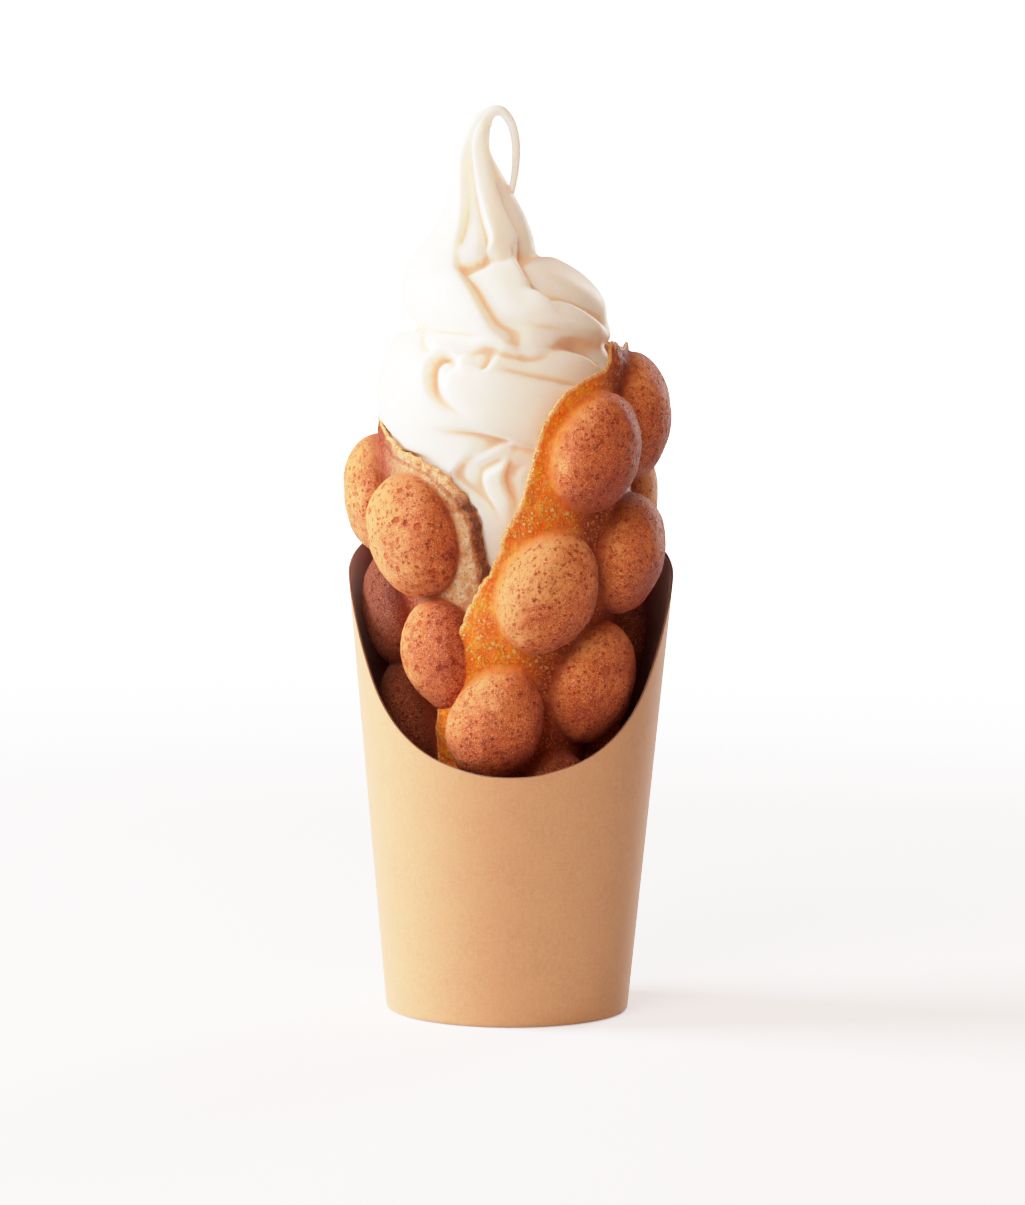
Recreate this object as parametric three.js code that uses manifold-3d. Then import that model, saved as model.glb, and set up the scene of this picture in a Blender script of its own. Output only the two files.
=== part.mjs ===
// Bubble waffle ice cream: a round egg waffle rolled into a cone, filled with
// soft serve and standing in a scoop-cut paper cup.
// Millimetres, +Z up, the scooped (low) side of the cup faces -Y.
import * as THREE from 'three';
import { mergeVertices } from 'three/addons/utils/BufferGeometryUtils.js';
import Module from 'manifold-3d';

const wasm = await Module();
wasm.setup();

// ---------------------------------------------------------------- dimensions
// paper cup
const CUP_BASE_R = 33.8;          // outer radius at the base
const CUP_FLARE = 0.0944;         // radius gained per mm of height
const CUP_WALL = 0.6;             // paper wall
const CUP_FLOOR_Z = 5.0;          // underside of the recessed floor disc
const CUP_FLOOR_T = 0.8;
const CUP_FOOT_IN = 31.2;         // inner radius of the folded foot
const CUP_EDGE = 0.8;             // small rounding under the wall
// the cup's axis stands this far from the origin, which is under the middle of the whole
const ORIGIN_X = 0.63, ORIGIN_Y = -2.15;
// height of the cut rim every 10 degrees, from the front round to the back
const RIM_Z = [70, 70.4, 72, 74.3, 78, 83.3, 91, 102, 113.5, 121.5, 125, 127.8, 130, 132, 133.6, 134.8, 135.5, 135.9, 136];

// waffle sheet, laid flat: x runs round the cone, y up it
const WRAP = 0.09;                // flat angle for each unit of angle round the cone
const REF_Z = 120, REF_R = 31;    // height and radius where the flat sheet is true to size
const SLANT = 1.017;              // slant length for each mm of height
const CONE_SLOPE = 0.184, CONE_APEX_Z = -48, SHEET_MAX_R = 37.8, SHEET_SOFT = 2.5;
const SHEET_T = 3.2;              // web between the bubbles
const LAP_IN = 7.0;               // how far the left flap tucks under the right one
const LAP_OUT = 3.0;              // how far the right flap's edge stands off
const DISC_X = -8, DISC_Y = -10;  // centre of the flat sheet
// flat radius of the sheet every 15 degrees
const DISC_R = [97.5, 100, 87.5, 84, 87.5, 88, 81, 77, 84, 101, 106, 96.5, 95.5, 102.5, 112, 107, 101, 99, 99, 98, 97, 95, 94, 95];
// bubble grid
const GRID_0 = [-84.9, 27.4], GRID_A = [-2.2, -38.2], GRID_B = [26.7, 15.9];
const BUB_LONG = 17.3, BUB_WIDE = 12.9;  // half length and half width
const BUB_OUT = 11.5, BUB_IN = 10.0;     // how far a bubble stands out on each side
const BUB_MARGIN = 3.0;           // a grid place nearer the sheet's edge holds no bubble
const BUB_ROOM = 13.0;            // a bubble with less room than this is drawn in and is smaller

// soft serve: a lobed rope, coiled and drawn up to a hooked peak
const LOBES = 6, LOBE_DEPTH = 0.17, LOBE_SHARP = 0.65, LOBE_PHASE = 0.0;
// peak: height, x, y, rope radius
const PEAK = [[251, -6.5, 0, 1.2], [245, -9, 0, 2.8], [239.6, -10.7, 0, 4.2], [231.5, -9.8, 0, 7.6], [226, -8.8, 0, 10],
  [220.7, -8.2, 0, 12.3], [213, -9.5, -1, 15.5], [205, -11.5, -3, 17.5]];
const COIL_X = -2.5, COIL_START = -30, COIL_TOP_Z = 199, COIL_PITCH = 27, COIL_TURNS = 2.3;
const COIL_WIND = [11.6, 15.0, 17.0, 18.4, 14.6, 12.4];   // winding radius at each half turn
const COIL_ROPE = [17.5, 16.4, 17.5, 17.0, 16.5, 14.5];   // rope radius at each half turn
const HOOK_R = 1.15;              // thin strand that falls back from the peak
const CORE_LOW_Z = 72;            // lowest point of the filling inside the cone
const GAP = 0.35;                 // clearance between touching pieces
const CUT_GAP = 1.5;              // clearance round the facets that the cream is cut to

const rad = (d) => d * Math.PI / 180;
const smooth = (a, b, x) => { const t = Math.min(1, Math.max(0, (x - a) / (b - a))); return t * t * (3 - 2 * t); };
// Catmull-Rom through evenly spaced values; closed for a loop
function spline(v, t, closed) {
  const n = v.length;
  const at = (i) => closed ? v[((i % n) + n) % n] : v[Math.min(n - 1, Math.max(0, i))];
  const i = Math.floor(t), f = t - i;
  const [p0, p1, p2, p3] = [at(i - 1), at(i), at(i + 1), at(i + 2)];
  return p1 + 0.5 * f * (p2 - p0 + f * (2 * p0 - 5 * p1 + 4 * p2 - p3 + f * (3 * (p1 - p2) + p3 - p0)));
}

// ---------------------------------------------------------------- mesh tools
function geometryOf(points, faces) {
  const g = new THREE.BufferGeometry();
  g.setAttribute('position', new THREE.Float32BufferAttribute(points.flat(), 3));
  g.setIndex(faces.flat());
  return g;
}
function toSolid(geometry) {
  let g = geometry.clone();
  g.deleteAttribute('normal');
  g.deleteAttribute('uv');
  g = mergeVertices(g, 1e-5);
  const solid = new wasm.Manifold(new wasm.Mesh({
    numProp: 3,
    vertProperties: new Float32Array(g.attributes.position.array),
    triVerts: new Uint32Array(g.index.array),
  }));
  return solid;
}
function fromSolid(solid) {
  const m = solid.getMesh();
  const p = new Float32Array(m.numVert * 3);
  for (let i = 0; i < m.numVert; i++) for (let k = 0; k < 3; k++) p[i * 3 + k] = m.vertProperties[i * m.numProp + k];
  const g = new THREE.BufferGeometry();
  g.setAttribute('position', new THREE.BufferAttribute(p, 3));
  g.setIndex(Array.from(m.triVerts));
  g.computeVertexNormals();
  return g;
}
function largest(solid) {
  const parts = solid.decompose();
  let best = parts[0];
  for (const s of parts) if (s.volume() > best.volume()) best = s;
  return best;
}
// closed skin from rings of equal length, with a fan on each end
function lofted(rings) {
  const n = rings[0].length, pts = [], f = [];
  for (const r of rings) for (const p of r) pts.push(p);
  const mid = (r) => [0, 1, 2].map((k) => r.reduce((s, p) => s + p[k], 0) / n);
  const a = pts.push(mid(rings[0])) - 1, b = pts.push(mid(rings[rings.length - 1])) - 1;
  const at = (i, j) => i * n + (j % n);
  for (let j = 0; j < n; j++) {
    f.push([a, at(0, j + 1), at(0, j)]);
    f.push([b, at(rings.length - 1, j), at(rings.length - 1, j + 1)]);
    for (let i = 0; i + 1 < rings.length; i++) {
      f.push([at(i, j), at(i, j + 1), at(i + 1, j + 1)]);
      f.push([at(i, j), at(i + 1, j + 1), at(i + 1, j)]);
    }
  }
  return geometryOf(pts, f);
}
function outward(geometry) {
  const s = toSolid(geometry);
  if (s.volume() > 0) return s;
  const g = geometry.clone(), ix = g.index.array;
  for (let i = 0; i < ix.length; i += 3) { const t = ix[i]; ix[i] = ix[i + 1]; ix[i + 1] = t; }
  return toSolid(g);
}

// ---------------------------------------------------------------- paper cup
const rimZ = (deg) => spline(RIM_Z, Math.abs(((deg + 180) % 360 + 360) % 360 - 180) / 10, false);
const cupR = (z) => CUP_BASE_R + CUP_FLARE * z;
function cupSolid(grow) {
  // each slice of the wall and floor, from the axis under the floor round to the axis above it
  const n = 50, cols = [];
  for (let i = 0; i < n; i++) {
    const deg = i * 360 / n, zt = rimZ(deg) + grow;
    const inner = (z) => cupR(z) - CUP_WALL - grow;
    cols.push([
      [CUP_FOOT_IN, CUP_FLOOR_Z], [CUP_FOOT_IN, 0], [cupR(0) - CUP_EDGE, 0], [cupR(1.2) + grow, 1.2],
      [cupR(zt) + grow, zt], [inner(zt), zt],
      [inner(CUP_FLOOR_Z + CUP_FLOOR_T + grow), CUP_FLOOR_Z + CUP_FLOOR_T + grow],
    ].map(([r, z]) => [r * Math.sin(rad(deg)), -r * Math.cos(rad(deg)), z]));
  }
  const rings = cols[0].map((_, k) => cols.map((c) => c[k]));
  return outward(lofted(rings));
}

// ---------------------------------------------------------------- waffle
function coneR(z) {
  const c = CONE_SLOPE * (z - CONE_APEX_Z), s = SHEET_SOFT;
  return -s * Math.log(Math.exp(-c / s) + Math.exp(-SHEET_MAX_R / s));
}
function sheetR(z, turn) {
  return coneR(z) - LAP_IN * smooth(275, 352, turn) + LAP_OUT * smooth(15, -45, turn)
    - (1.5 + 4.5 * smooth(130, 170, z)) * Math.exp(-(((turn - 85) / 40) ** 2))
    - 3.0 * Math.exp(-(((turn - 185) / 55) ** 2));
}
const FLAT_R = REF_R / WRAP;
function place(x, y) {
  const rho = Math.hypot(x, y + FLAT_R), ang = Math.atan2(x, y + FLAT_R);
  const turn = 180 + ang / WRAP * 180 / Math.PI, z = REF_Z + (rho - FLAT_R) / SLANT;
  const r = sheetR(z, turn), t = rad(turn);
  return new THREE.Vector3(r * Math.sin(t), -r * Math.cos(t), z);
}
function flatOf(turn, z) {
  const rho = FLAT_R + (z - REF_Z) * SLANT, ang = rad(turn - 180) * WRAP;
  return [rho * Math.sin(ang), rho * Math.cos(ang) - FLAT_R];
}
function lift(x, y, h) {
  const e = 0.3, p = place(x, y);
  const dx = place(x + e, y).sub(place(x - e, y)), dy = place(x, y + e).sub(place(x, y - e));
  const n = dx.cross(dy).normalize();
  if (n.x * p.x + n.y * p.y < 0) n.negate();
  return p.addScaledVector(n, h);
}
const discR = (deg) => spline(DISC_R, ((deg % 360) + 360) % 360 / 15, true);
function edgeRoom(x, y) {
  const dx = x - DISC_X, dy = y - DISC_Y;
  return discR(Math.atan2(dy, dx) * 180 / Math.PI) - Math.hypot(dx, dy);
}
const bubbles = [];
for (let i = -6; i < 12; i++) for (let j = -3; j < 12; j++) {
  const x = GRID_0[0] + i * GRID_A[0] + j * GRID_B[0], y = GRID_0[1] + i * GRID_A[1] + j * GRID_B[1];
  const room = edgeRoom(x, y), pull = Math.max(0, BUB_ROOM - room);
  if (room < BUB_MARGIN) continue;
  const d = Math.hypot(x - DISC_X, y - DISC_Y), f = 1 - 0.8 * pull / d;
  bubbles.push([DISC_X + (x - DISC_X) * f, DISC_Y + (y - DISC_Y) * f, 1 - 0.014 * pull]);
}
const LONG_DIR = new THREE.Vector2(-GRID_A[0], -GRID_A[1]).normalize();

// Delaunay triangles of flat points
function triangulate(pts) {
  const big = 1e4, p = [...pts, [-big, -big], [big, -big], [0, big]], n = pts.length;
  const circle = (a, b, c) => {
    const [ax, ay] = p[a], [bx, by] = p[b], [cx, cy] = p[c];
    const d = 2 * (ax * (by - cy) + bx * (cy - ay) + cx * (ay - by));
    const ux = ((ax * ax + ay * ay) * (by - cy) + (bx * bx + by * by) * (cy - ay) + (cx * cx + cy * cy) * (ay - by)) / d;
    const uy = ((ax * ax + ay * ay) * (cx - bx) + (bx * bx + by * by) * (ax - cx) + (cx * cx + cy * cy) * (bx - ax)) / d;
    return { v: [a, b, c], x: ux, y: uy, r: (ax - ux) ** 2 + (ay - uy) ** 2 };
  };
  let tris = [circle(n, n + 1, n + 2)];
  for (let i = 0; i < n; i++) {
    const edges = new Map(), keep = [];
    for (const t of tris) {
      if ((p[i][0] - t.x) ** 2 + (p[i][1] - t.y) ** 2 < t.r) {
        for (let k = 0; k < 3; k++) {
          const a = t.v[k], b = t.v[(k + 1) % 3], key = Math.min(a, b) + '_' + Math.max(a, b);
          if (edges.has(key)) edges.set(key, null); else edges.set(key, [a, b]);
        }
      } else keep.push(t);
    }
    for (const e of edges.values()) if (e) keep.push(circle(e[0], e[1], i));
    tris = keep;
  }
  return tris.map((t) => t.v).filter((v) => v.every((k) => k < n)).map((v) => {
    const [a, b, c] = v.map((k) => pts[k]);
    return (b[0] - a[0]) * (c[1] - a[1]) - (b[1] - a[1]) * (c[0] - a[0]) > 0 ? v : [v[0], v[2], v[1]];
  });
}
// flat layout: where each point sits, where it lands on the sheet and how high a bubble is there
const EDGE_POINTS = 64;
function sheetLayout(coarse) {
  const flat = [], land = [], dome = [], spread = [];
  let seed = 7;
  const rnd = () => { seed = (seed * 16807) % 2147483647; return seed / 2147483647 - 0.5; };
  const add = (x, y, lx, ly, d, out = [0, 0]) => { flat.push([x + rnd() * 0.02, y + rnd() * 0.02]); land.push([lx, ly]); dome.push(d); spread.push(out); };
  const edge = EDGE_POINTS;
  for (let i = 0; i < edge; i++) {
    const t = i * 360 / edge, r = discR(t), x = DISC_X + r * Math.cos(rad(t)), y = DISC_Y + r * Math.sin(rad(t));
    add(x, y, x, y, 0, [Math.cos(rad(t)), Math.sin(rad(t))]);
  }
  // the coarse layout, used for the clearance, has fewer and slightly larger facets
  const rings = coarse ? [[0, 1], [46, 6], [90, 8]] : [[0, 1], [30, 6], [56, 10], [76, 12], [90, 12]];
  const extra = coarse ? 1.1 : 1;
  for (const [bx, by, size] of bubbles) for (const [lat, count] of rings) for (let k = 0; k < count; k++) {
    const a = (k + (lat === 56 || lat === 90 ? 0.5 : 0)) * 2 * Math.PI / count;
    const spot = (q) => {
      const u = Math.sin(a) * BUB_LONG * size * extra * q, v = Math.cos(a) * BUB_WIDE * size * extra * q;
      return [bx + u * LONG_DIR.x + v * LONG_DIR.y, by + u * LONG_DIR.y - v * LONG_DIR.x];
    };
    const [x, y] = spot(lat / 90), [lx, ly] = spot(Math.sin(rad(lat)));
    const away = Math.hypot(lx - bx, ly - by) || 1, side = Math.sin(rad(lat));
    if (edgeRoom(x, y) > 1.2) add(x, y, lx, ly, Math.cos(rad(lat)) * size * extra, [(lx - bx) / away * side, (ly - by) / away * side]);
  }
  for (let gx = -130; gx < 120; gx += 9) for (let gy = -120; gy < 110; gy += 9) {
    const x = gx + rnd(), y = gy + rnd();
    if (edgeRoom(x, y) < 5) continue;
    const clear = bubbles.every(([bx, by]) => {
      const dx = x - bx, dy = y - by, u = dx * LONG_DIR.x + dy * LONG_DIR.y, v = dx * LONG_DIR.y - dy * LONG_DIR.x;
      return Math.hypot(u / BUB_LONG, v / BUB_WIDE) > 1.22;
    });
    if (clear) add(x, y, x, y, 0);
  }
  const tris = triangulate(flat).filter((t) => {
    const cx = (flat[t[0]][0] + flat[t[1]][0] + flat[t[2]][0]) / 3, cy = (flat[t[0]][1] + flat[t[1]][1] + flat[t[2]][1]) / 3;
    return edgeRoom(cx, cy) > 0;
  });
  return { flat, land, dome, spread, tris };
}
const fineLayout = sheetLayout(false), coarseLayout = sheetLayout(true);
function waffleSolid(grow, layout = fineLayout) {
  const { flat, land, dome, spread, tris } = layout, n = flat.length;
  const pts = [];
  for (const side of [1, -1]) for (let i = 0; i < n; i++) {
    const x = land[i][0] + grow * 1.3 * spread[i][0], y = land[i][1] + grow * 1.3 * spread[i][1];
    const at = place(x, y), r = Math.hypot(at.x, at.y);
    const tall = side > 0 ? BUB_OUT : Math.min(BUB_IN, 0.4 * r);
    const edge = i < EDGE_POINTS ? 0.75 : 1;
    pts.push(lift(x, y, side * (SHEET_T / 2 * edge + grow + tall * dome[i])).toArray());
  }
  // two halves, so that the lapped edges join as solids; they share a strip at the back
  const halves = [];
  for (const left of [true, false]) {
    const mine = tris.filter((t) => {
      const mid = (flat[t[0]][0] + flat[t[1]][0] + flat[t[2]][0]) / 3;
      return left ? mid > -6 : mid < 6;
    });
    const f = [], open = new Map();
    for (const [a, b, c] of mine) {
      f.push([a, b, c], [n + a, n + c, n + b]);
      for (const [s, e] of [[a, b], [b, c], [c, a]]) {
        const key = Math.min(s, e) + '_' + Math.max(s, e);
        if (open.has(key)) open.set(key, null); else open.set(key, [s, e]);
      }
    }
    for (const e of open.values()) if (e) f.push([e[1], e[0], n + e[0]], [e[1], n + e[0], n + e[1]]);
    const used = new Map(), p2 = [];
    const f2 = f.map((t) => t.map((k) => { if (!used.has(k)) { used.set(k, p2.length); p2.push(pts[k]); } return used.get(k); }));
    halves.push(outward(geometryOf(p2, f2)));
  }
  return halves[0].add(halves[1]);
}

// ---------------------------------------------------------------- soft serve
const stations = PEAK.map(([z, x, y, r]) => ({ p: new THREE.Vector3(x, y, z), r }));
for (let i = 0; i <= COIL_TURNS * 8; i++) {
  const turn = i / 8, t = rad(COIL_START + 360 * turn), w = spline(COIL_WIND, turn * 2, false);
  stations.push({ p: new THREE.Vector3(COIL_X + w * Math.sin(t), -w * Math.cos(t), COIL_TOP_Z - COIL_PITCH * turn), r: spline(COIL_ROPE, turn * 2, false) });
}
const ropeCurve = new THREE.CatmullRomCurve3(stations.map((s) => s.p), false, 'centripetal');
const ROPE_STEPS = 420, rope = [];
{
  let side = new THREE.Vector3(1, 0, 0);
  for (let i = 0; i <= ROPE_STEPS; i++) {
    const t = i / ROPE_STEPS, p = ropeCurve.getPoint(t), dir = ropeCurve.getTangent(t);
    side = side.clone().addScaledVector(dir, -side.dot(dir)).normalize();
    const s = t * (stations.length - 1);
    rope.push({ p, dir, side, up: dir.clone().cross(side), r: spline(stations.map((q) => q.r), s, false) });
  }
}
function lobe(a) { return 1 - LOBE_DEPTH + LOBE_DEPTH * Math.abs(Math.cos(LOBES * (a - LOBE_PHASE) / 2)) ** LOBE_SHARP; }
function inRope(x, y, z) {
  for (const k of rope) {
    const dx = x - k.p.x, dy = y - k.p.y, dz = z - k.p.z;
    const d2 = dx * dx + dy * dy + dz * dz;
    if (d2 > k.r * k.r * 1.1) continue;
    const along = dx * k.dir.x + dy * k.dir.y + dz * k.dir.z;
    if (Math.abs(along) > 0.8) continue;
    const u = dx * k.side.x + dy * k.side.y + dz * k.side.z, v = dx * k.up.x + dy * k.up.y + dz * k.up.z;
    if (Math.hypot(u, v) < k.r * lobe(Math.atan2(v, u))) return true;
  }
  return false;
}
// centre line of the filling: on the cup's axis below, along the peak above
const LOW_AXIS = new THREE.Vector2(-2.5, 0);
function spine(z) {
  const f = smooth(196, 214, z);
  let x = PEAK[0][1], y = 0;
  for (let i = 0; i + 1 < PEAK.length; i++) {
    const [z1, x1, y1] = PEAK[i], [z0, x0, y0] = PEAK[i + 1];
    if (z <= z1 && z >= z0) { const t = (z - z0) / (z1 - z0); x = x0 + t * (x1 - x0); y = y0 + t * (y1 - y0); }
  }
  return [LOW_AXIS.x + f * (x - LOW_AXIS.x), LOW_AXIS.y + f * (y - LOW_AXIS.y)];
}
function fillR(cx, cy, deg, z) {
  const sx = Math.sin(rad(deg)), sy = -Math.cos(rad(deg));
  let r = 0;
  for (let q = 46; q > 0.3; q -= 0.8) if (inRope(cx + q * sx, cy + q * sy, z)) {
    let lo = q, hi = q + 0.8;
    for (let k = 0; k < 4; k++) { const m = (lo + hi) / 2; if (inRope(cx + m * sx, cy + m * sy, z)) lo = m; else hi = m; }
    r = lo;
    break;
  }
  return r;
}
function softServe() {
  const levels = [], sides = 34;
  for (let z = CORE_LOW_Z; z < 126; z += 14) levels.push(z);
  for (let z = 130; z < 214; z += 3.65) levels.push(z);
  for (let z = 216; z < 249; z += 4.6) levels.push(z);
  levels.push(250.5);
  // a little evening out, as the cream settles
  const reach = levels.map((z) => Array.from({ length: sides }, (_, k) => fillR(...spine(z), k * 360 / sides, z)));
  const even = reach.map((row, i) => row.map((v, k) => {
    const a = row[(k + 1) % sides], b = row[(k + sides - 1) % sides];
    const up = reach[Math.min(i + 1, levels.length - 1)][k], dn = reach[Math.max(i - 1, 0)][k];
    return v * 0.52 + (a + b) * 0.14 + (up + dn) * 0.1;
  }));
  const rings = levels.map((z, i) => {
    const [cx, cy] = spine(z), ring = [];
    for (let k = 0; k < sides; k++) {
      const deg = k * 360 / sides;
      let r = Math.max(z > 212 ? reach[i][k] : even[i][k], z > 247 ? 0.9 : 1.2);
      const core = Math.max(1.5, coneR(Math.min(z, 150)) - SHEET_T / 2 - 1.5);
      if (z < 146) r = Math.max(r, core * smooth(150, 132, z));
      ring.push([cx + r * Math.sin(rad(deg)), cy - r * Math.cos(rad(deg)), z]);
    }
    return ring;
  });
  // inside the cone the filling stays within the sheet
  for (const ring of rings) for (const p of ring) {
    const deg = Math.atan2(p[0], -p[1]) * 180 / Math.PI;
    let lim = 1e9;
    for (const turn of [deg, deg + 360]) if (edgeRoom(...flatOf(turn, p[2])) > -2.5) lim = Math.min(lim, sheetR(p[2], turn) - SHEET_T / 2 - GAP);
    const r = Math.hypot(p[0], p[1]);
    if (r > lim) { p[0] *= lim / r; p[1] *= lim / r; }
  }
  return outward(lofted(rings));
}
function hookSolid() {
  const curve = new THREE.CatmullRomCurve3([[-9.5, 0, 247], [-6.8, 0, 250.6], [-3.6, 0, 249.6], [-0.9, 0, 246], [0.2, 0, 240], [-0.4, 0, 234], [-1.8, 0, 228.5], [-3.6, 0, 223]]
    .map((p) => new THREE.Vector3(...p)));
  const ring = new THREE.Shape();
  ring.absarc(0, 0, HOOK_R, 0, 2 * Math.PI, false);
  const g = new THREE.ExtrudeGeometry(ring, { steps: 14, bevelEnabled: false, extrudePath: curve, curveSegments: 6 });
  return outward(mergeVertices((() => { g.deleteAttribute('normal'); g.deleteAttribute('uv'); return g; })(), 1e-4));
}

// ---------------------------------------------------------------- assembly
const cup = cupSolid(0);
const waffle = largest(waffleSolid(0)).simplify(0.02);
let ice = softServe().add(hookSolid());
ice = largest(ice.subtract(waffleSolid(CUT_GAP, coarseLayout))).simplify(0.1);
ice = largest(ice.subtract(waffleSolid(GAP)));

const parts = [['paper_cup', cup, 0xdca878, 0.85], ['bubble_waffle', waffle, 0xc98a50, 0.6], ['soft_serve', ice, 0xf4ead8, 0.45]]
  .map(([name, solid, color, roughness]) => {
    const g = fromSolid(solid).translate(ORIGIN_X, ORIGIN_Y, 0);
    const mesh = new THREE.Mesh(g, new THREE.MeshStandardMaterial({ color, roughness, metalness: 0 }));
    mesh.name = name;
    return mesh;
  });

const group = new THREE.Group();
for (const m of parts) group.add(m);
export default group;
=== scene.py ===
import math

import bmesh
import bpy
import numpy as np
from mathutils import Matrix, Vector
from mathutils.geometry import delaunay_2d_cdt


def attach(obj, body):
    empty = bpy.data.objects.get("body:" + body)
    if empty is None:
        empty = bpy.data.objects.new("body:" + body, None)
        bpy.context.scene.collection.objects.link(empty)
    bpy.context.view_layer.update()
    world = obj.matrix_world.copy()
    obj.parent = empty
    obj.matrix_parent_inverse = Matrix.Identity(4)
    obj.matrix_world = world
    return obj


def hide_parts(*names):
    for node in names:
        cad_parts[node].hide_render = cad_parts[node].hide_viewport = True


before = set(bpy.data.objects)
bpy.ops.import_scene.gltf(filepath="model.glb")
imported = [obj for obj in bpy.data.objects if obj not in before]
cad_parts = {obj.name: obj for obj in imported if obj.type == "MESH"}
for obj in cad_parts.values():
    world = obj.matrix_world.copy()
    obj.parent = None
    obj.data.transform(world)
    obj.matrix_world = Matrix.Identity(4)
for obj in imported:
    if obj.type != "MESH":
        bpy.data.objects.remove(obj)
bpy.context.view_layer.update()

MM = 0.001
ORIGIN = np.array([0.63, -2.15, 0.0])      # where the cup's axis stands, mm
rng = np.random.default_rng(20)


# ------------------------------------------------------------------ helpers
def smooth(a, b, x):
    t = np.clip((np.asarray(x, float) - a) / (b - a), 0, 1)
    return t * t * (3 - 2 * t)


def srgb(r, g, b, a=1.0):
    def one(c):
        c = c / 255
        return c / 12.92 if c <= 0.04045 else ((c + 0.055) / 1.055) ** 2.4
    return (one(r), one(g), one(b), a)


def hash3(i, j, k, seed):
    h = (i.astype(np.int64) * 374761393 + j.astype(np.int64) * 668265263
         + k.astype(np.int64) * 1442695041 + seed * 974634777) & 0xFFFFFFFF
    h = ((h ^ (h >> 13)) * 1274126177) & 0xFFFFFFFF
    h = ((h ^ (h >> 16)) * 2246822519) & 0xFFFFFFFF
    return (h ^ (h >> 15)) / 4294967296.0


def noise3(p, seed=0):
    """Smooth value noise, -1 to 1."""
    i = np.floor(p).astype(np.int64)
    f = p - i
    u = f * f * f * (f * (f * 6 - 15) + 10)
    out = np.zeros(len(p))
    for dx in (0, 1):
        for dy in (0, 1):
            for dz in (0, 1):
                w = ((u[:, 0] if dx else 1 - u[:, 0]) * (u[:, 1] if dy else 1 - u[:, 1])
                     * (u[:, 2] if dz else 1 - u[:, 2]))
                out += w * hash3(i[:, 0] + dx, i[:, 1] + dy, i[:, 2] + dz, seed)
    return out * 2 - 1


def fbm(p, octaves=3, seed=0):
    out, amp, tot = np.zeros(len(p)), 1.0, 0.0
    for o in range(octaves):
        out += amp * noise3(p * 2 ** o + 17.3 * o, seed + o)
        tot += amp
        amp *= 0.5
    return out / tot


def cells3(p, seed=0):
    """Distance to the nearest and second nearest scattered points, and the nearest one's random number."""
    i = np.floor(p).astype(np.int64)
    f1 = np.full(len(p), 9.0)
    f2 = np.full(len(p), 9.0)
    who = np.zeros(len(p))
    for dx in (-1, 0, 1):
        for dy in (-1, 0, 1):
            for dz in (-1, 0, 1):
                a, b, c = i[:, 0] + dx, i[:, 1] + dy, i[:, 2] + dz
                q = np.stack([a + hash3(a, b, c, seed), b + hash3(a, b, c, seed + 1), c + hash3(a, b, c, seed + 2)], 1)
                d = np.linalg.norm(p - q, axis=1)
                r = hash3(a, b, c, seed + 3)
                near = d < f1
                f2 = np.where(near, f1, np.minimum(f2, d))
                who = np.where(near, r, who)
                f1 = np.minimum(f1, d)
    return f1, f2, who


def spline(v, t, closed):
    """Catmull-Rom through evenly spaced values."""
    v = np.asarray(v, float)
    t = np.asarray(t, float)
    n = len(v)
    i = np.floor(t).astype(int)
    f = t - i
    if v.ndim > 1:
        f = f[..., None]
    if closed:
        p0, p1, p2, p3 = (v[(i + k) % n] for k in (-1, 0, 1, 2))
    else:
        p0, p1, p2, p3 = (v[np.clip(i + k, 0, n - 1)] for k in (-1, 0, 1, 2))
    return p1 + 0.5 * f * (p2 - p0 + f * (2 * p0 - 5 * p1 + 4 * p2 - p3 + f * (3 * (p1 - p2) + p3 - p0)))


def cubic(s, y, q):
    """Natural cubic spline through (s, y), read at q."""
    s, y, q = np.asarray(s, float), np.asarray(y, float), np.asarray(q, float)
    n = len(s)
    h = np.diff(s)
    a = np.zeros((n, n))
    r = np.zeros((n,) + y.shape[1:])
    a[0, 0] = a[-1, -1] = 1
    for i in range(1, n - 1):
        a[i, i - 1], a[i, i], a[i, i + 1] = h[i - 1], 2 * (h[i - 1] + h[i]), h[i]
        r[i] = 6 * ((y[i + 1] - y[i]) / h[i] - (y[i] - y[i - 1]) / h[i - 1])
    m = np.linalg.solve(a, r)
    k = np.clip(np.searchsorted(s, q, side="right") - 1, 0, n - 2)
    t0, t1 = q - s[k], s[k + 1] - q
    hk = h[k]
    if y.ndim > 1:
        t0, t1, hk = t0[:, None], t1[:, None], hk[:, None]
    return (m[k] * t1 ** 3 + m[k + 1] * t0 ** 3) / (6 * hk) + (y[k] / hk - m[k] * hk / 6) * t1 + (y[k + 1] / hk - m[k + 1] * hk / 6) * t0


def add_mesh(name, points_mm, faces, shade_smooth=True):
    mesh = bpy.data.meshes.new(name)
    pts = (np.asarray(points_mm, float) + ORIGIN) * MM
    mesh.from_pydata(pts.tolist(), [], [list(f) for f in faces])
    mesh.validate()
    mesh.update()
    if shade_smooth:
        mesh.polygons.foreach_set("use_smooth", np.ones(len(mesh.polygons), bool))
    obj = bpy.data.objects.new(name, mesh)
    bpy.context.scene.collection.objects.link(obj)
    return obj


def add_attribute(obj, name, values):
    a = obj.data.attributes.new(name, "FLOAT", "POINT")
    a.data.foreach_set("value", np.asarray(values, np.float32))


def points_of(mesh):
    co = np.zeros(len(mesh.vertices) * 3, np.float32)
    mesh.vertices.foreach_get("co", co)
    return co.reshape(-1, 3).astype(float)


def edges_of(mesh):
    e = np.zeros(len(mesh.edges) * 2, np.int32)
    mesh.edges.foreach_get("vertices", e)
    return e.reshape(-1, 2)


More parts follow.
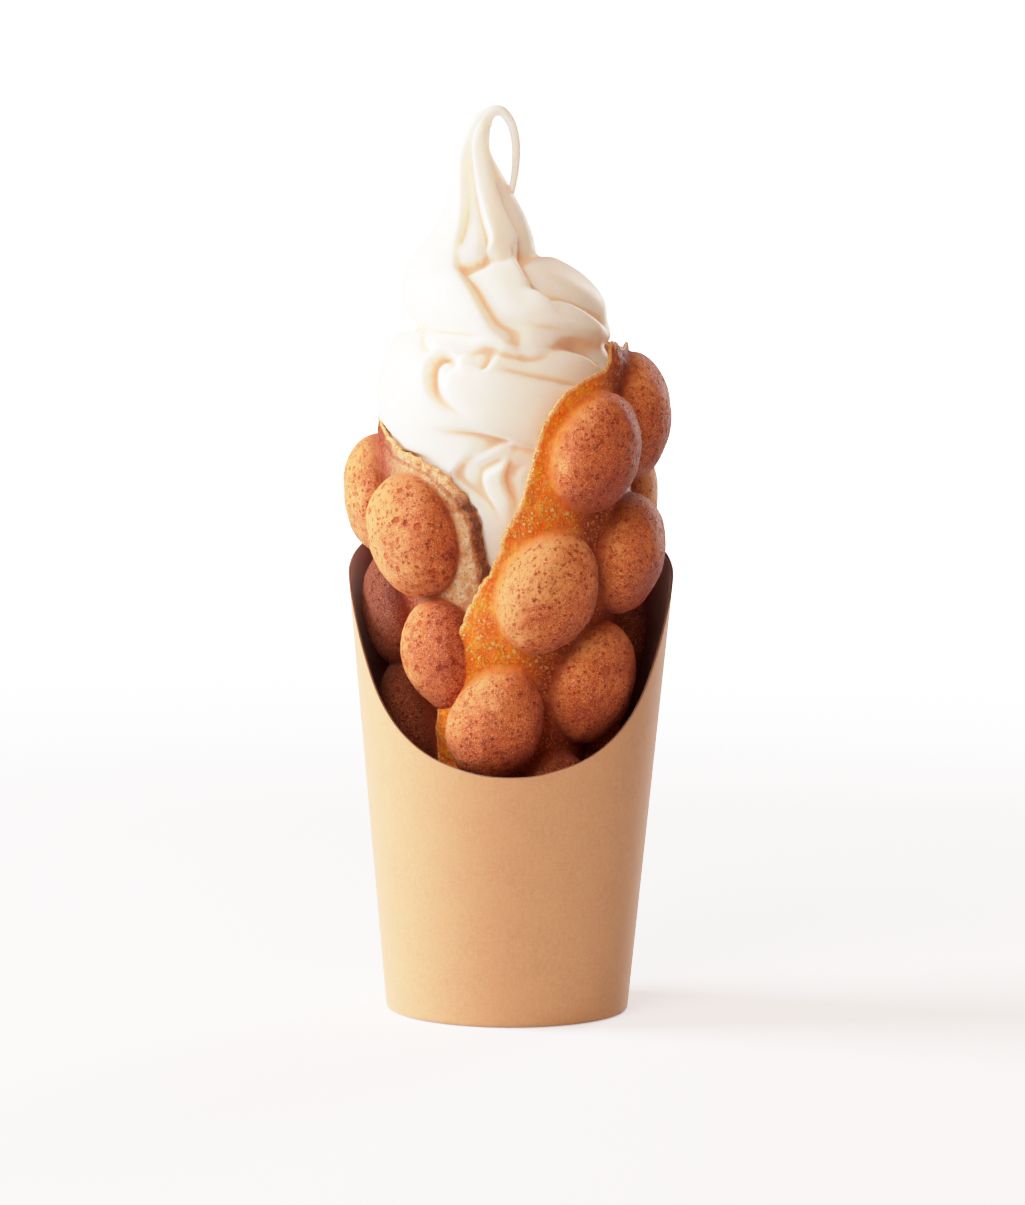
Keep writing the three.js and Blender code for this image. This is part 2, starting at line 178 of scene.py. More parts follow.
def relax(p, edges, weight, times, keep=0.0):
    """Laplacian smoothing, weighted per point; keep > 0 puts back part of the shrinkage."""
    n = len(p)
    deg = np.bincount(edges.ravel(), minlength=n).astype(float)
    deg[deg == 0] = 1
    w = np.broadcast_to(np.asarray(weight, float), (n,))[:, None]

    def step(q, k):
        acc = np.zeros_like(q)
        for c in range(3):
            acc[:, c] = (np.bincount(edges[:, 0], q[edges[:, 1], c], n)
                         + np.bincount(edges[:, 1], q[edges[:, 0], c], n))
        return q + w * k * (acc / deg[:, None] - q)

    for _ in range(times):
        p = step(p, 0.5)
        if keep:
            p = step(p, -keep)
    return p


def vertex_normals(mesh):
    n = np.zeros(len(mesh.vertices) * 3, np.float32)
    mesh.vertex_normals.foreach_get("vector", n)
    return n.reshape(-1, 3).astype(float)


# ------------------------------------------------------------------ the rolled sheet, mm
WRAP = 0.09
REF_Z, REF_R, SLANT = 120.0, 31.0, 1.017
CONE_SLOPE, CONE_APEX_Z, SHEET_MAX_R, SHEET_SOFT = 0.184, -48.0, 37.8, 2.5
LAP_IN, LAP_OUT = 7.0, 3.0
DISC_X, DISC_Y = -8.0, -10.0
DISC_R = [97.5, 100, 87.5, 84, 87.5, 88, 81, 77, 84, 101, 106, 96.5, 95.5, 102.5, 112, 107, 101, 99, 99, 98, 97, 95, 94, 95]
GRID_0 = np.array([-84.9, 27.4])
GRID_A = np.array([-2.2, -38.2])
GRID_B = np.array([26.7, 15.9])
BUB_LONG, BUB_WIDE, BUB_OUT, BUB_IN = 17.3, 12.9, 11.5, 10.0
BUB_MARGIN, BUB_ROOM = 3.0, 13.0
FLAT_R = REF_R / WRAP
# small shifts from the even grid, by place in the grid, and width and length for the ones that differ
NUDGE = {(0, 0): (-0.1, 2.0), (1, 0): (0.1, -0.3), (2, 0): (-1.7, -2.1), (0, 1): (-2.4, -0.5), (1, 1): (1.2, -0.9),
         (2, 1): (2.2, 0.6), (3, 6): (-1.1, -1.1), (4, 6): (-2.2, 3.3), (2, 5): (3.2, -5.0), (3, 5): (3.0, -3.2), (4, 5): (3.5, 4.0)}
SIZE = {(0, 0): (0.95, 0.97), (1, 0): (1.03, 1.0), (2, 0): (1.08, 0.97), (3, 6): (1.0, 1.0), (4, 6): (1.02, 0.98)}


def cone_r(z):
    c, s = CONE_SLOPE * (z - CONE_APEX_Z), SHEET_SOFT
    return -s * np.logaddexp(-c / s, -SHEET_MAX_R / s)


def sheet_r(z, turn):
    return (cone_r(z) - LAP_IN * smooth(275, 352, turn) + LAP_OUT * smooth(15, -45, turn)
            - (1.5 + 4.5 * smooth(130, 170, z)) * np.exp(-(((turn - 85) / 40) ** 2))
            - 3.0 * np.exp(-(((turn - 185) / 55) ** 2)))


def place(xy):
    x, y = xy[:, 0], xy[:, 1]
    rho, ang = np.hypot(x, y + FLAT_R), np.arctan2(x, y + FLAT_R)
    turn, z = 180 + np.degrees(ang / WRAP), REF_Z + (rho - FLAT_R) / SLANT
    r, t = sheet_r(z, turn), np.radians(turn)
    return np.stack([r * np.sin(t), -r * np.cos(t), z], 1)


def flat_of(turn, z):
    rho, ang = FLAT_R + (z - REF_Z) * SLANT, np.radians(turn - 180) * WRAP
    return np.stack([rho * np.sin(ang), rho * np.cos(ang) - FLAT_R], 1)


def sheet_normal(xy):
    e = 0.3
    dx = place(xy + [e, 0]) - place(xy - [e, 0])
    dy = place(xy + [0, e]) - place(xy - [0, e])
    n = np.cross(dx, dy)
    n /= np.linalg.norm(n, axis=1)[:, None]
    p = place(xy)
    flip = (n[:, 0] * p[:, 0] + n[:, 1] * p[:, 1]) < 0
    n[flip] *= -1
    return n


def disc_r(deg):
    return spline(DISC_R, (np.asarray(deg) % 360) / 15, True)


def edge_room(xy):
    d = xy - [DISC_X, DISC_Y]
    return disc_r(np.degrees(np.arctan2(d[:, 1], d[:, 0]))) - np.hypot(d[:, 0], d[:, 1])


LONG_DIR = -GRID_A / np.linalg.norm(GRID_A)
SIDE_DIR = np.array([LONG_DIR[1], -LONG_DIR[0]])
bubbles = []          # x, y, half length, half width, height, lean of the egg, tone
for i in range(-6, 12):
    for j in range(-3, 12):
        c = GRID_0 + i * GRID_A + j * GRID_B
        room = float(edge_room(c[None])[0])
        if room < BUB_MARGIN:
            continue
        pull = max(0.0, BUB_ROOM - room)
        away = c - [DISC_X, DISC_Y]
        c = np.array([DISC_X, DISC_Y]) + away * (1 - 0.8 * pull / np.linalg.norm(away))
        size = 1 - 0.014 * pull
        wide, long = SIZE.get((i, j), (1 + rng.uniform(-0.04, 0.04), 1 + rng.uniform(-0.04, 0.03)))
        c = c + np.array(NUDGE.get((i, j), rng.uniform(-1.2, 1.2, 2)))
        bubbles.append([c[0], c[1], BUB_LONG * size * long, BUB_WIDE * size * wide, size * rng.uniform(0.97, 1.03),
                        rng.uniform(-0.07, 0.07), 0.4 + 0.6 * rng.random()])
bubbles = np.array(bubbles)
# a few sit a little off the even grid or are larger: x and y of the centre, then what is added to each measure
for x, y, more in ((67.6, 7.1, (2.3, 0.6, 0.0, 0.5, 0.0)), (64.3, -26.7, (4.4, 0.0, -0.6, -1.0, 0.0)), (47.4, 25.5, (0.0, -4.2, 0.0, 0.0, 0.0)),
                   (-60.6, 42.8, (-0.4, 0.0, 0.6, 1.5, 0.06)), (-91, -51, (1.9, 0.3, -0.2, -1.2, 0.0)), (-87, -11, (0.0, 0.0, 0.0, -0.4, 0.0)),
                   (-60.4, -32.5, (-1.6, 0.0, 0.2, 1.3, 0.03)), (-59.2, 4.2, (-1.0, 0.0, 0.2, 1.1, 0.03))):
    bubbles[np.argmin(np.hypot(bubbles[:, 0] - x, bubbles[:, 1] - y)), :5] += more
# how far each bubble is toasted, by the place of its centre on the flat sheet; partly real browning, partly painted
# light and shade: the highest values darken bubbles that lie in shade, as inside the cup's left wall, and the lowest
# lighten bubbles on the left flap where the key light falls
for x, y, browned_and_shaded in ((-85, 29, 0.9), (-61, 43, 1.0), (-87, -11, 0.3), (-59, 4, 1.0), (-91, -51, 0.7), (-60, -33, 0.95), (-65, -71, 1.5), (-36, -17, 1.6),
                    (-39, -56, 1.1), (45, -11, 1.6), (69, 8, 0.05), (47, 26, -0.5), (43, -42, 1.8), (64, -27, 0.6), (37, -82, 1.8), (-40, -90, 1.6)):
    bubbles[np.argmin(np.hypot(bubbles[:, 0] - x, bubbles[:, 1] - y)), 6] = browned_and_shaded
DOME = math.radians(94)
# the bubbles on the flap that tucks under have larger holes
HOLES = 0.45 + 0.55 * smooth(58, 72, bubbles[:, 0])


def nearest_bubble(xy):
    """For flat points: the bubble whose outline is nearest in its own measure, that measure, and the point's place in it."""
    best = np.full(len(xy), 9.0)
    who = np.zeros(len(xy), int)
    uv = np.zeros((len(xy), 2))
    for k, (bx, by, bl, bw, _, lean, _) in enumerate(bubbles):
        d = xy - [bx, by]
        u = (d @ LONG_DIR) / bl
        v = (d @ SIDE_DIR) / (bw * (1 + lean * np.clip(u, -1.2, 1.2)))
        q = np.hypot(u, v)
        m = q < best
        best[m], who[m] = q[m], k
        uv[m] = np.stack([u, v], 1)[m]
    return best, who, uv


def hexes(step, keep):
    ys = np.arange(-125, 125, step * 0.8660254)
    xs = np.arange(-125, 125, step)
    gx, gy = np.meshgrid(xs, ys)
    gx = gx + (np.arange(len(ys)) % 2)[:, None] * step / 2
    p = np.stack([gx.ravel(), gy.ravel()], 1)
    p = p + rng.uniform(-0.07, 0.07, p.shape) * step
    return p[keep(p)]


def triangulate(loop, inside):
    pts = np.concatenate([loop, inside])
    verts, _, faces, _, _, _ = delaunay_2d_cdt([Vector(p) for p in pts.tolist()], [], [list(range(len(loop)))], 1, 1e-7, True)
    if len(verts) != len(pts):
        raise RuntimeError("the flat sheet's points were merged")
    tri = np.array([list(f) for f in faces], int)
    # leave out the slivers that close the outline's notches from outside
    low = np.sort(tri, 1)
    a, b, c = pts[low[:, 0]], pts[low[:, 1]], pts[low[:, 2]]
    turn = (b[:, 0] - a[:, 0]) * (c[:, 1] - a[:, 1]) - (b[:, 1] - a[:, 1]) * (c[:, 0] - a[:, 0])
    return pts, tri[(low[:, 2] >= len(loop)) | (turn > 0)]


# the sheet's outline, a little ragged, and more so on the flap that tucks under
EDGE_N = 880
edge_deg = np.arange(EDGE_N) * 360 / EDGE_N
ragged = 0.35 + 0.65 * smooth(75, 35, np.abs((edge_deg + 180) % 360 - 180))
along = disc_r(edge_deg) * np.radians(edge_deg)
wob = noise3(np.stack([along / 7, np.zeros(EDGE_N), np.zeros(EDGE_N)], 1), 3) * 0.9 \
    + noise3(np.stack([along / 2.3, np.zeros(EDGE_N), np.zeros(EDGE_N)], 1), 4) * 0.55 \
    + noise3(np.stack([along / 1.1, np.zeros(EDGE_N), np.zeros(EDGE_N)], 1), 5) * 0.3
edge_rad = disc_r(edge_deg) + np.maximum(ragged, 0.5) * wob - 0.4
# the flap's top corner is torn: low along its slope, with one narrow peak
edge_rad += np.interp(edge_deg, [126, 130, 132.5, 134.3, 135.8, 137.3, 138.6, 140.5, 144, 148, 152, 156], [0, -1.6, -3.2, -2.4, 0.4, 1.0, -2.2, -4.8, -4.2, -2.4, -0.9, 0])
loop = np.stack([DISC_X + edge_rad * np.cos(np.radians(edge_deg)), DISC_Y + edge_rad * np.sin(np.radians(edge_deg))], 1)


def true_room(xy):
    d = xy - [DISC_X, DISC_Y]
    deg = np.degrees(np.arctan2(d[:, 1], d[:, 0])) % 360
    return np.interp(deg, np.r_[edge_deg, 360], np.r_[edge_rad, edge_rad[0]]) - np.hypot(d[:, 0], d[:, 1])


def sheet_points(bubble_step, web_step):
    def on_bubble(p):
        q, _, _ = nearest_bubble(p)
        return (q < 1.06) & (true_room(p) > 0.5 * bubble_step + 0.1)

    def on_web(p):
        q, _, _ = nearest_bubble(p)
        return (q > 1.06 + 0.5 * web_step / BUB_WIDE) & (true_room(p) > 0.5 * web_step + 0.1)
    return np.concatenate([hexes(bubble_step, on_bubble), hexes(web_step, on_web)])


def left_flap(xy):
    """1 on the flap that tucks under (left in front view), 0 away from it."""
    return smooth(60, 78, xy[:, 0])


def thin_shaded_edge(xy):
    """1 on the stretch of that flap's edge where the sheet is thinner and a dark strip beside the pale lip is painted
    shade for the shaded gap behind the edge.
    """
    d = xy - [DISC_X, DISC_Y]
    deg = np.degrees(np.arctan2(d[:, 1], d[:, 0]))
    wander = 0.45 * noise3(np.stack([deg * 0.9, deg * 0, deg * 0], 1), 8)
    return smooth(17, 13, deg) * smooth(-7, -2, deg) * smooth(3.1, 2.6, np.maximum(true_room(xy), 0) + wander)


def sheet_surface(xy, side):
    """Points of the sheet's outer (side 1) or inner (side -1) skin, with what the material needs."""
    q, who, uv = nearest_bubble(xy)
    room = np.maximum(true_room(xy), 0)
    b = bubbles[who]
    phi = np.minimum(q, 1) * DOME
    inside = q < 1
    scale = np.where(inside, np.sin(phi) / np.maximum(q, 1e-6), 1.0)
    lean = 1 + b[:, 5] * np.clip(uv[:, 0], -1.2, 1.2)
    land = np.where(inside[:, None],
                    b[:, :2] + (uv[:, :1] * scale[:, None]) * b[:, 2:3] * LONG_DIR
                    + (uv[:, 1:] * scale[:, None]) * (b[:, 3] * lean)[:, None] * SIDE_DIR, xy)
    dome = np.where(inside, (np.cos(phi) - math.cos(DOME)) / (1 - math.cos(DOME)), 0) * b[:, 4]
    # near the sheet's edge a bubble runs out
    dome = dome * smooth(0.0, 3.0, room)
    at = place(land)
    n = sheet_normal(land)
    tall = BUB_OUT if side > 0 else np.minimum(BUB_IN, 0.36 * np.hypot(at[:, 0], at[:, 1]))
    flap = left_flap(xy)
    thick = 0.32 + 1.13 * smooth(0.3, 6.5, room) + (0.10 + 0.34 * flap) * np.exp(-((room - 1.0) / 0.85) ** 2)
    thick = thick + flap * 0.45 * np.exp(-((room - 4.6) / 0.9) ** 2) * (side > 0)
    thick = thick * (1 - 0.6 * thin_shaded_edge(xy) * (side > 0))
    h = thick + tall * dome
    p3 = at + n * (side * h)[:, None]
    return p3, n, dict(q=q, who=who, room=room, dome=dome, flap=flap)


def build_waffle():
    out_xy, out_f = triangulate(loop, sheet_points(0.67, 0.76))
    in_xy, in_f = triangulate(loop, sheet_points(1.35, 1.6))
    parts_p, parts_f, attrs = [], [], []
    base = 0
    for side, xy, f in ((1, out_xy, out_f), (-1, in_xy, in_f)):
        p, n, info = sheet_surface(xy, side)
        # triangles face out of the solid
        a, b, c = p[f[:, 0]], p[f[:, 1]], p[f[:, 2]]
        face_n = np.cross(b - a, c - a)
        want = n[f[:, 0]] * side
        flip = (face_n * want).sum(1) < 0
        if np.mean(flip) > 0.5:
            f = f[:, ::-1]
        parts_p.append(p)
        parts_f.append(f + base)
        info["side"] = np.full(len(p), side)
        info["xy"] = xy
        attrs.append(info)
        base += len(p)
    # a rounded lip joins the two skins along the edge
    o, i = np.arange(EDGE_N), np.arange(EDGE_N) + len(out_xy)
    tang = np.roll(loop, -1, 0) - np.roll(loop, 1, 0)
    out_dir = np.stack([tang[:, 1], -tang[:, 0]], 1)
    out_dir /= np.linalg.norm(out_dir, axis=1)[:, None]
    lip = place(loop + out_dir * 0.3)
    m = np.arange(EDGE_N) + base
    parts_p.append(lip)
    quads = []
    for k in range(EDGE_N):
        k2 = (k + 1) % EDGE_N
        quads += [(o[k], m[k], o[k2]), (o[k2], m[k], m[k2]), (m[k], i[k], m[k2]), (m[k2], i[k], i[k2])]
    quads = np.array(quads)
    p = np.concatenate(parts_p)
    f = np.concatenate(parts_f)
    # face the lip the same way as the outer skin's edge
    used = {}
    for t in parts_f[0]:
        for s, e in ((t[0], t[1]), (t[1], t[2]), (t[2], t[0])):
            if s < EDGE_N and e < EDGE_N:
                used[(int(s), int(e))] = True
    if (0, 1) not in used:
        quads = quads[:, ::-1]
    f = np.concatenate([f, quads])
    q = np.concatenate([a["q"] for a in attrs] + [np.full(EDGE_N, 2.0)])
    room = np.concatenate([a["room"] for a in attrs] + [np.zeros(EDGE_N)])
    dome = np.concatenate([a["dome"] for a in attrs] + [np.zeros(EDGE_N)])
    side = np.concatenate([a["side"] for a in attrs] + [np.zeros(EDGE_N)])
    who = np.concatenate([a["who"] for a in attrs] + [np.zeros(EDGE_N, int)])
    xy = np.concatenate([a["xy"] for a in attrs] + [loop])

    obj = add_mesh("waffle", p, f)
    e = edges_of(obj.data)
    # fillet where the bubbles meet the web
    w = np.exp(-((q - 1.0) / 0.09) ** 2)
    p = relax(p, e, w, 4)
    p = relax(p, e, 0.35, 1)
    obj.data.vertices.foreach_set("co", ((p + ORIGIN) * MM).astype(np.float32).ravel())
    obj.data.update()
    n = vertex_normals(obj.data)
    # unevenness: slow lumps, dimples in the crust, blisters on the web
    crown = smooth(0.02, 0.28, dome)
    web = smooth(0.96, 1.10, q)
    key = p + np.stack([xy[:, 0] * 0.3, xy[:, 1] * 0.3, side * 9.0], 1)
    d = 0.5 * fbm(key / 10.0, 2, 11) * (0.35 + 0.65 * crown)
    d += 0.16 * fbm(key / 3.6, 2, 21)
    f1, f2, r = cells3(key / 3.1, 31)
    dimple = -0.34 * smooth(0.36, 0.05, f1) * (r < 0.5) * crown
    d += dimple
    g1, g2, gr = cells3(key / 2.3, 41)
    blister = (0.30 * smooth(0.0, 0.45, g2 - g1) * (0.4 + 0.6 * gr) - 0.10) * web * smooth(1.2, 3.0, room) * (side > 0)
    d += blister * (1 - 0.6 * left_flap(xy))
    d += 0.22 * fbm(key / 1.9, 2, 51) * web * left_flap(xy)
    e1, _, er = cells3(key / 2.9, 66)
    d += (0.35 * fbm(key / 1.6, 2, 61) + 1.15 * smooth(0.62, 0.12, e1) * (er < 0.6)) * smooth(3.2, 1.4, room) * (0.3 + 0.7 * left_flap(xy)) * np.where(side > 0, 1.0, np.where(side == 0, 0.6, 0.25))
    p = p + n * d[:, None]
    obj.data.vertices.foreach_set("co", ((p + ORIGIN) * MM).astype(np.float32).ravel())
    obj.data.update()
    add_attribute(obj, "crown", crown)
    add_attribute(obj, "web", web)
    add_attribute(obj, "room", np.clip(room, 0, 20))
    add_attribute(obj, "inner", (side < 0).astype(float))
    add_attribute(obj, "tone", bubbles[who, 6])
    add_attribute(obj, "flap", left_flap(xy))
    add_attribute(obj, "under", thin_shaded_edge(xy))
    add_attribute(obj, "holes", HOLES[who])
    # painted shade: each bubble is toasted darker across one fixed side, the side turned away from the key light in
    # front view; partly real uneven browning
    across = (xy - bubbles[who, :2]) @ np.array([0.94, -0.34]) / bubbles[who, 3]
    add_attribute(obj, "one_side_shade", np.clip(0.5 + 0.5 * across, 0, 1))
    gold = smooth(0.70, 1.02, q) * smooth(-78, -92, xy[:, 0])
    add_attribute(obj, "gold", gold)
    pearl = (np.exp(-((xy[:, 1] - 11) / 10) ** 2) + np.exp(-((xy[:, 1] + 31) / 10) ** 2)) * smooth(-58, -72, xy[:, 0])
    add_attribute(obj, "pearl", np.clip(pearl, 0, 1))
    # painted shade: darker in the crease round each bubble's foot, except on the golden edge
    add_attribute(obj, "crease_shade", np.exp(-((q - 1.02) / 0.16) ** 2) * (1 - gold) * (1 - 0.6 * left_flap(xy)))
    return obj


# ------------------------------------------------------------------ materials
def material(name):
    m = bpy.data.materials.new(name)
    m.use_nodes = True
    nt = m.node_tree
    return m, nt, nt.nodes, nt.links, nt.nodes["Principled BSDF"]


class Net:
    """Short names for shader nodes."""

    def __init__(self, nt):
        self.nt = nt

    def node(self, kind, **props):
        n = self.nt.nodes.new(kind)
        for k, v in props.items():
            setattr(n, k, v)
        return n

    def put(self, socket, value):
        if isinstance(value, bpy.types.NodeSocket):
            self.nt.links.new(value, socket)
        else:
            socket.default_value = value

    def math(self, op, a, b=0.0, c=None, clamp=False):
        n = self.node("ShaderNodeMath", operation=op, use_clamp=clamp)
        self.put(n.inputs[0], a)
        self.put(n.inputs[1], b)
        if c is not None:
            self.put(n.inputs[2], c)
        return n.outputs[0]

    def mul(self, a, b):
        return self.math("MULTIPLY", a, b)

    def add(self, a, b):
        return self.math("ADD", a, b)

    def sub(self, a, b):
        return self.math("SUBTRACT", a, b)

    def remap(self, x, a, b, c=0.0, d=1.0, kind="SMOOTHSTEP"):
        n = self.node("ShaderNodeMapRange", interpolation_type=kind)
        self.put(n.inputs["Value"], x)
        if a <= b:
            for k, v in zip(("From Min", "From Max", "To Min", "To Max"), (a, b, c, d)):
                n.inputs[k].default_value = v
        else:
            for k, v in zip(("From Min", "From Max", "To Min", "To Max"), (b, a, d, c)):
                n.inputs[k].default_value = v
        return n.outputs["Result"]

    def mix(self, f, a, b, kind="MIX"):
        n = self.node("ShaderNodeMix", data_type="RGBA", blend_type=kind, clamp_factor=True)
        self.put(n.inputs[0], f)
        self.put(n.inputs[6], a)
        self.put(n.inputs[7], b)
        return n.outputs[2]

    def attr(self, name):
        return self.node("ShaderNodeAttribute", attribute_name=name).outputs["Fac"]

    def coords(self):
        return self.node("ShaderNodeTexCoord").outputs["Object"]

    def scaled(self, vec, s, off=(0, 0, 0)):
        n = self.node("ShaderNodeMapping")
        self.put(n.inputs["Vector"], vec)
        n.inputs["Location"].default_value = off
        n.inputs["Scale"].default_value = s if isinstance(s, tuple) else (s, s, s)
        return n.outputs["Vector"]

    def noise(self, vec, scale, detail=2.0, rough=0.5, dist=0.0, out="Fac"):
        n = self.node("ShaderNodeTexNoise")
        self.put(n.inputs["Vector"], vec)
        n.inputs["Scale"].default_value = scale
        n.inputs["Detail"].default_value = detail
        n.inputs["Roughness"].default_value = rough
        n.inputs["Distortion"].default_value = dist
        return n.outputs[out]

    def voronoi(self, vec, scale, feature="F1", rand=1.0, smoothness=0.3):
        n = self.node("ShaderNodeTexVoronoi", feature=feature)
        self.put(n.inputs["Vector"], vec)
        n.inputs["Scale"].default_value = scale
        n.inputs["Randomness"].default_value = rand
        if feature == "SMOOTH_F1":
            n.inputs["Smoothness"].default_value = smoothness
        return n

    def bump(self, height, distance, strength=1.0, normal=None):
        n = self.node("ShaderNodeBump")
        self.put(n.inputs["Height"], height)
        n.inputs["Distance"].default_value = distance
        n.inputs["Strength"].default_value = strength
        if normal is not None:
            self.put(n.inputs["Normal"], normal)
        return n.outputs["Normal"]


def bump_set(b, value=None, **kw):
    for k, v in kw.items():
        b.inputs[k.replace("_", " ")].default_value = v


def waffle_material():
    m, nt, nodes, links, bsdf = material("baked_waffle")
    g = Net(nt)
    co = g.scaled(g.coords(), 1000.0)           # millimetres
    crown, web, room, inner = g.attr("crown"), g.attr("web"), g.attr("room"), g.attr("inner")
    tone, flap, gold = g.attr("tone"), g.attr("flap"), g.attr("gold")

    warp = g.noise(co, 0.5, 2.0, 0.5, 0.0, "Color")
    wmix = g.node("ShaderNodeVectorMath", operation="MULTIPLY_ADD")
    g.put(wmix.inputs[0], warp)
    wmix.inputs[1].default_value = (1.1, 1.1, 1.1)
    g.put(wmix.inputs[2], co)
    wmix2 = g.node("ShaderNodeVectorMath", operation="MULTIPLY_ADD")
    g.put(wmix2.inputs[0], g.noise(co, 2.0, 2.0, 0.5, 0.0, "Color"))
    wmix2.inputs[1].default_value = (0.55, 0.55, 0.55)
    g.put(wmix2.inputs[2], wmix.outputs[0])
    cw = wmix2.outputs[0]

    patch = g.noise(co, 0.11, 3.0, 0.55)         # 9 mm patches
    mott = g.noise(co, 0.55, 4.0, 0.6)           # 2 mm mottling
    grit = g.noise(co, 3.2, 3.0, 0.65)           # grain of the crust
    fleck = g.noise(g.scaled(co, 1.0, (9, 40, 3)), 1.5, 3.0, 0.6)
    holes, pearl, crease_shade, one_side_shade = g.attr("holes"), g.attr("pearl"), g.attr("crease_shade"), g.attr("one_side_shade")

    def pits(vec, scale, radius, share, seed):
        v = g.voronoi(g.scaled(vec, 1.0, (seed, seed * 0.7, -seed)), scale)
        rnd = g.node("ShaderNodeSeparateColor")
        g.put(rnd.inputs[0], v.outputs["Color"])
        on = g.math("LESS_THAN", rnd.outputs[0], share)
        rad = g.math("MULTIPLY_ADD", rnd.outputs[1], radius * 0.6, radius * 0.4)
        # 1 in the middle of a pit, 0 outside
        t = g.math("DIVIDE", v.outputs["Distance"], rad)
        return g.mul(g.remap(t, 1.0, 0.6), on)

    big = g.mul(pits(cw, 0.33, 0.44, 0.7, 3.1), holes)
    mid = pits(cw, 0.72, 0.48, 0.5, 7.7)
    small = pits(cw, 1.5, 0.45, 0.5, 12.9)
    pit = g.math("MAXIMUM", g.math("MAXIMUM", big, mid), g.mul(small, 0.8))
    pit = g.mul(pit, crown)

    # crust colour
    c_peach = srgb(206, 94, 38)
    c_brown = srgb(158, 44, 14)
    c_dark = srgb(112, 28, 10)
    c_pale = srgb(248, 178, 112)
    c_cream = srgb(240, 154, 88)
    # toast of the crust: real patches, mottling and per-bubble tone, plus painted shade on one side of each bubble, the
    # side away from the key light
    brown_and_shade = g.add(g.mul(g.remap(one_side_shade, 0.05, 0.95), 0.40), g.add(g.mul(patch, 0.40), g.add(g.mul(tone, 0.28), g.mul(mott, 0.3))))
    crust = g.mix(g.remap(brown_and_shade, 0.48, 0.68), c_cream, c_peach)
    crust = g.mix(g.remap(brown_and_shade, 0.60, 0.92), crust, c_brown)
    # painted shade: a tone above 1 darkens a bubble further towards deep brown, for the bubbles that lie in shade
    crust = g.mix(g.remap(tone, 1.0, 1.8, 0.0, 0.9), crust, srgb(98, 34, 12))
    crust = g.mix(g.remap(mott, 0.54, 0.74, 0.0, 0.8), crust, c_dark)
    # pale grain, most where the crust is least toasted, so it also gathers on the side of each bubble painted as lit
    crust = g.mix(g.mul(g.remap(grit, 0.5, 0.62), g.remap(brown_and_shade, 0.5, 1.0, 0.85, 0.3)), crust, c_pale)
    crust = g.mix(g.remap(fleck, 0.6, 0.72, 0.0, 0.5), crust, c_dark)
    crust = g.mix(g.mul(pit, 0.95), crust, (0.72, 0.34, 0.13, 1), "MULTIPLY")
    # painted shade in the creases round the bubbles' feet
    crust = g.mix(g.mul(crease_shade, 0.8), crust, srgb(140, 44, 8))
    # web: glossy golden foam, with pearls of trapped air in drifts
    def pearls(scale, radius, share, seed):
        v = g.voronoi(g.scaled(co, 1.0, (seed, -seed, seed * 0.6)), scale)
        rnd = g.node("ShaderNodeSeparateColor")
        g.put(rnd.inputs[0], v.outputs["Color"])
        on = g.remap(g.sub(share, rnd.outputs[0]), 0.0, 0.05)
        t = g.math("DIVIDE", v.outputs["Distance"], g.math("MULTIPLY_ADD", rnd.outputs[1], radius * 0.6, radius * 0.4))
        dome = g.math("SQRT", g.math("SUBTRACT", 1.0, g.math("MULTIPLY", t, t), clamp=True))
        ring = g.mul(g.remap(t, 0.75, 1.0), g.remap(t, 1.5, 1.0))
        return g.mul(dome, on), g.mul(ring, on)
    drift = g.math("MULTIPLY", pearl, g.remap(g.noise(co, 0.22, 2.0), 0.3, 0.55, 0.25, 1.0))
    p1, r1 = pearls(0.50, 0.44, g.mul(drift, 0.9), 4.4)
    p2, r2 = pearls(0.90, 0.46, g.add(g.mul(drift, 0.7), 0.2), 9.1)
    p3, r3 = pearls(1.7, 0.48, g.add(g.mul(drift, 0.6), 0.3), 17.7)
    ff = g.math("MAXIMUM", g.math("MAXIMUM", p1, g.mul(p2, 0.9)), g.mul(p3, 0.5))
    rr = g.math("MAXIMUM", g.math("MAXIMUM", r1, g.mul(r2, 0.8)), g.mul(r3, 0.4))
    streak = g.noise(co, 0.28, 2.0, 0.5)
    fv = g.voronoi(cw, 0.8)
    foam = g.remap(fv.outputs["Distance"], 0.62, 0.12)
    fine_foam = g.remap(g.voronoi(g.scaled(cw, 1.0, (5, 2, 8)), 2.1).outputs["Distance"], 0.6, 0.1)
    froth = g.add(g.mul(foam, 0.65), g.mul(fine_foam, 0.35))
    web_gold = g.mix(g.remap(g.add(g.mul(froth, 0.5), g.mul(streak, 0.9)), 0.38, 0.88), srgb(252, 108, 3), srgb(255, 162, 32))
    web_plain = g.mix(g.remap(g.add(g.mul(froth, 0.5), g.mul(streak, 0.9)), 0.45, 0.9), srgb(136, 42, 10), srgb(198, 88, 28))
    webc = g.mix(gold, web_plain, web_gold)
    # painted shade: a darker ring round each pearl's foot
    webc = g.mix(g.mul(rr, 0.4), webc, g.mix(gold, srgb(126, 40, 12), srgb(176, 62, 2)))
    # pearls: paler thin blisters, with a painted highlight brightest in each pearl's middle
    webc = g.mix(g.mul(ff, 0.95), webc, g.mix(gold, srgb(232, 134, 66), srgb(255, 196, 106)))
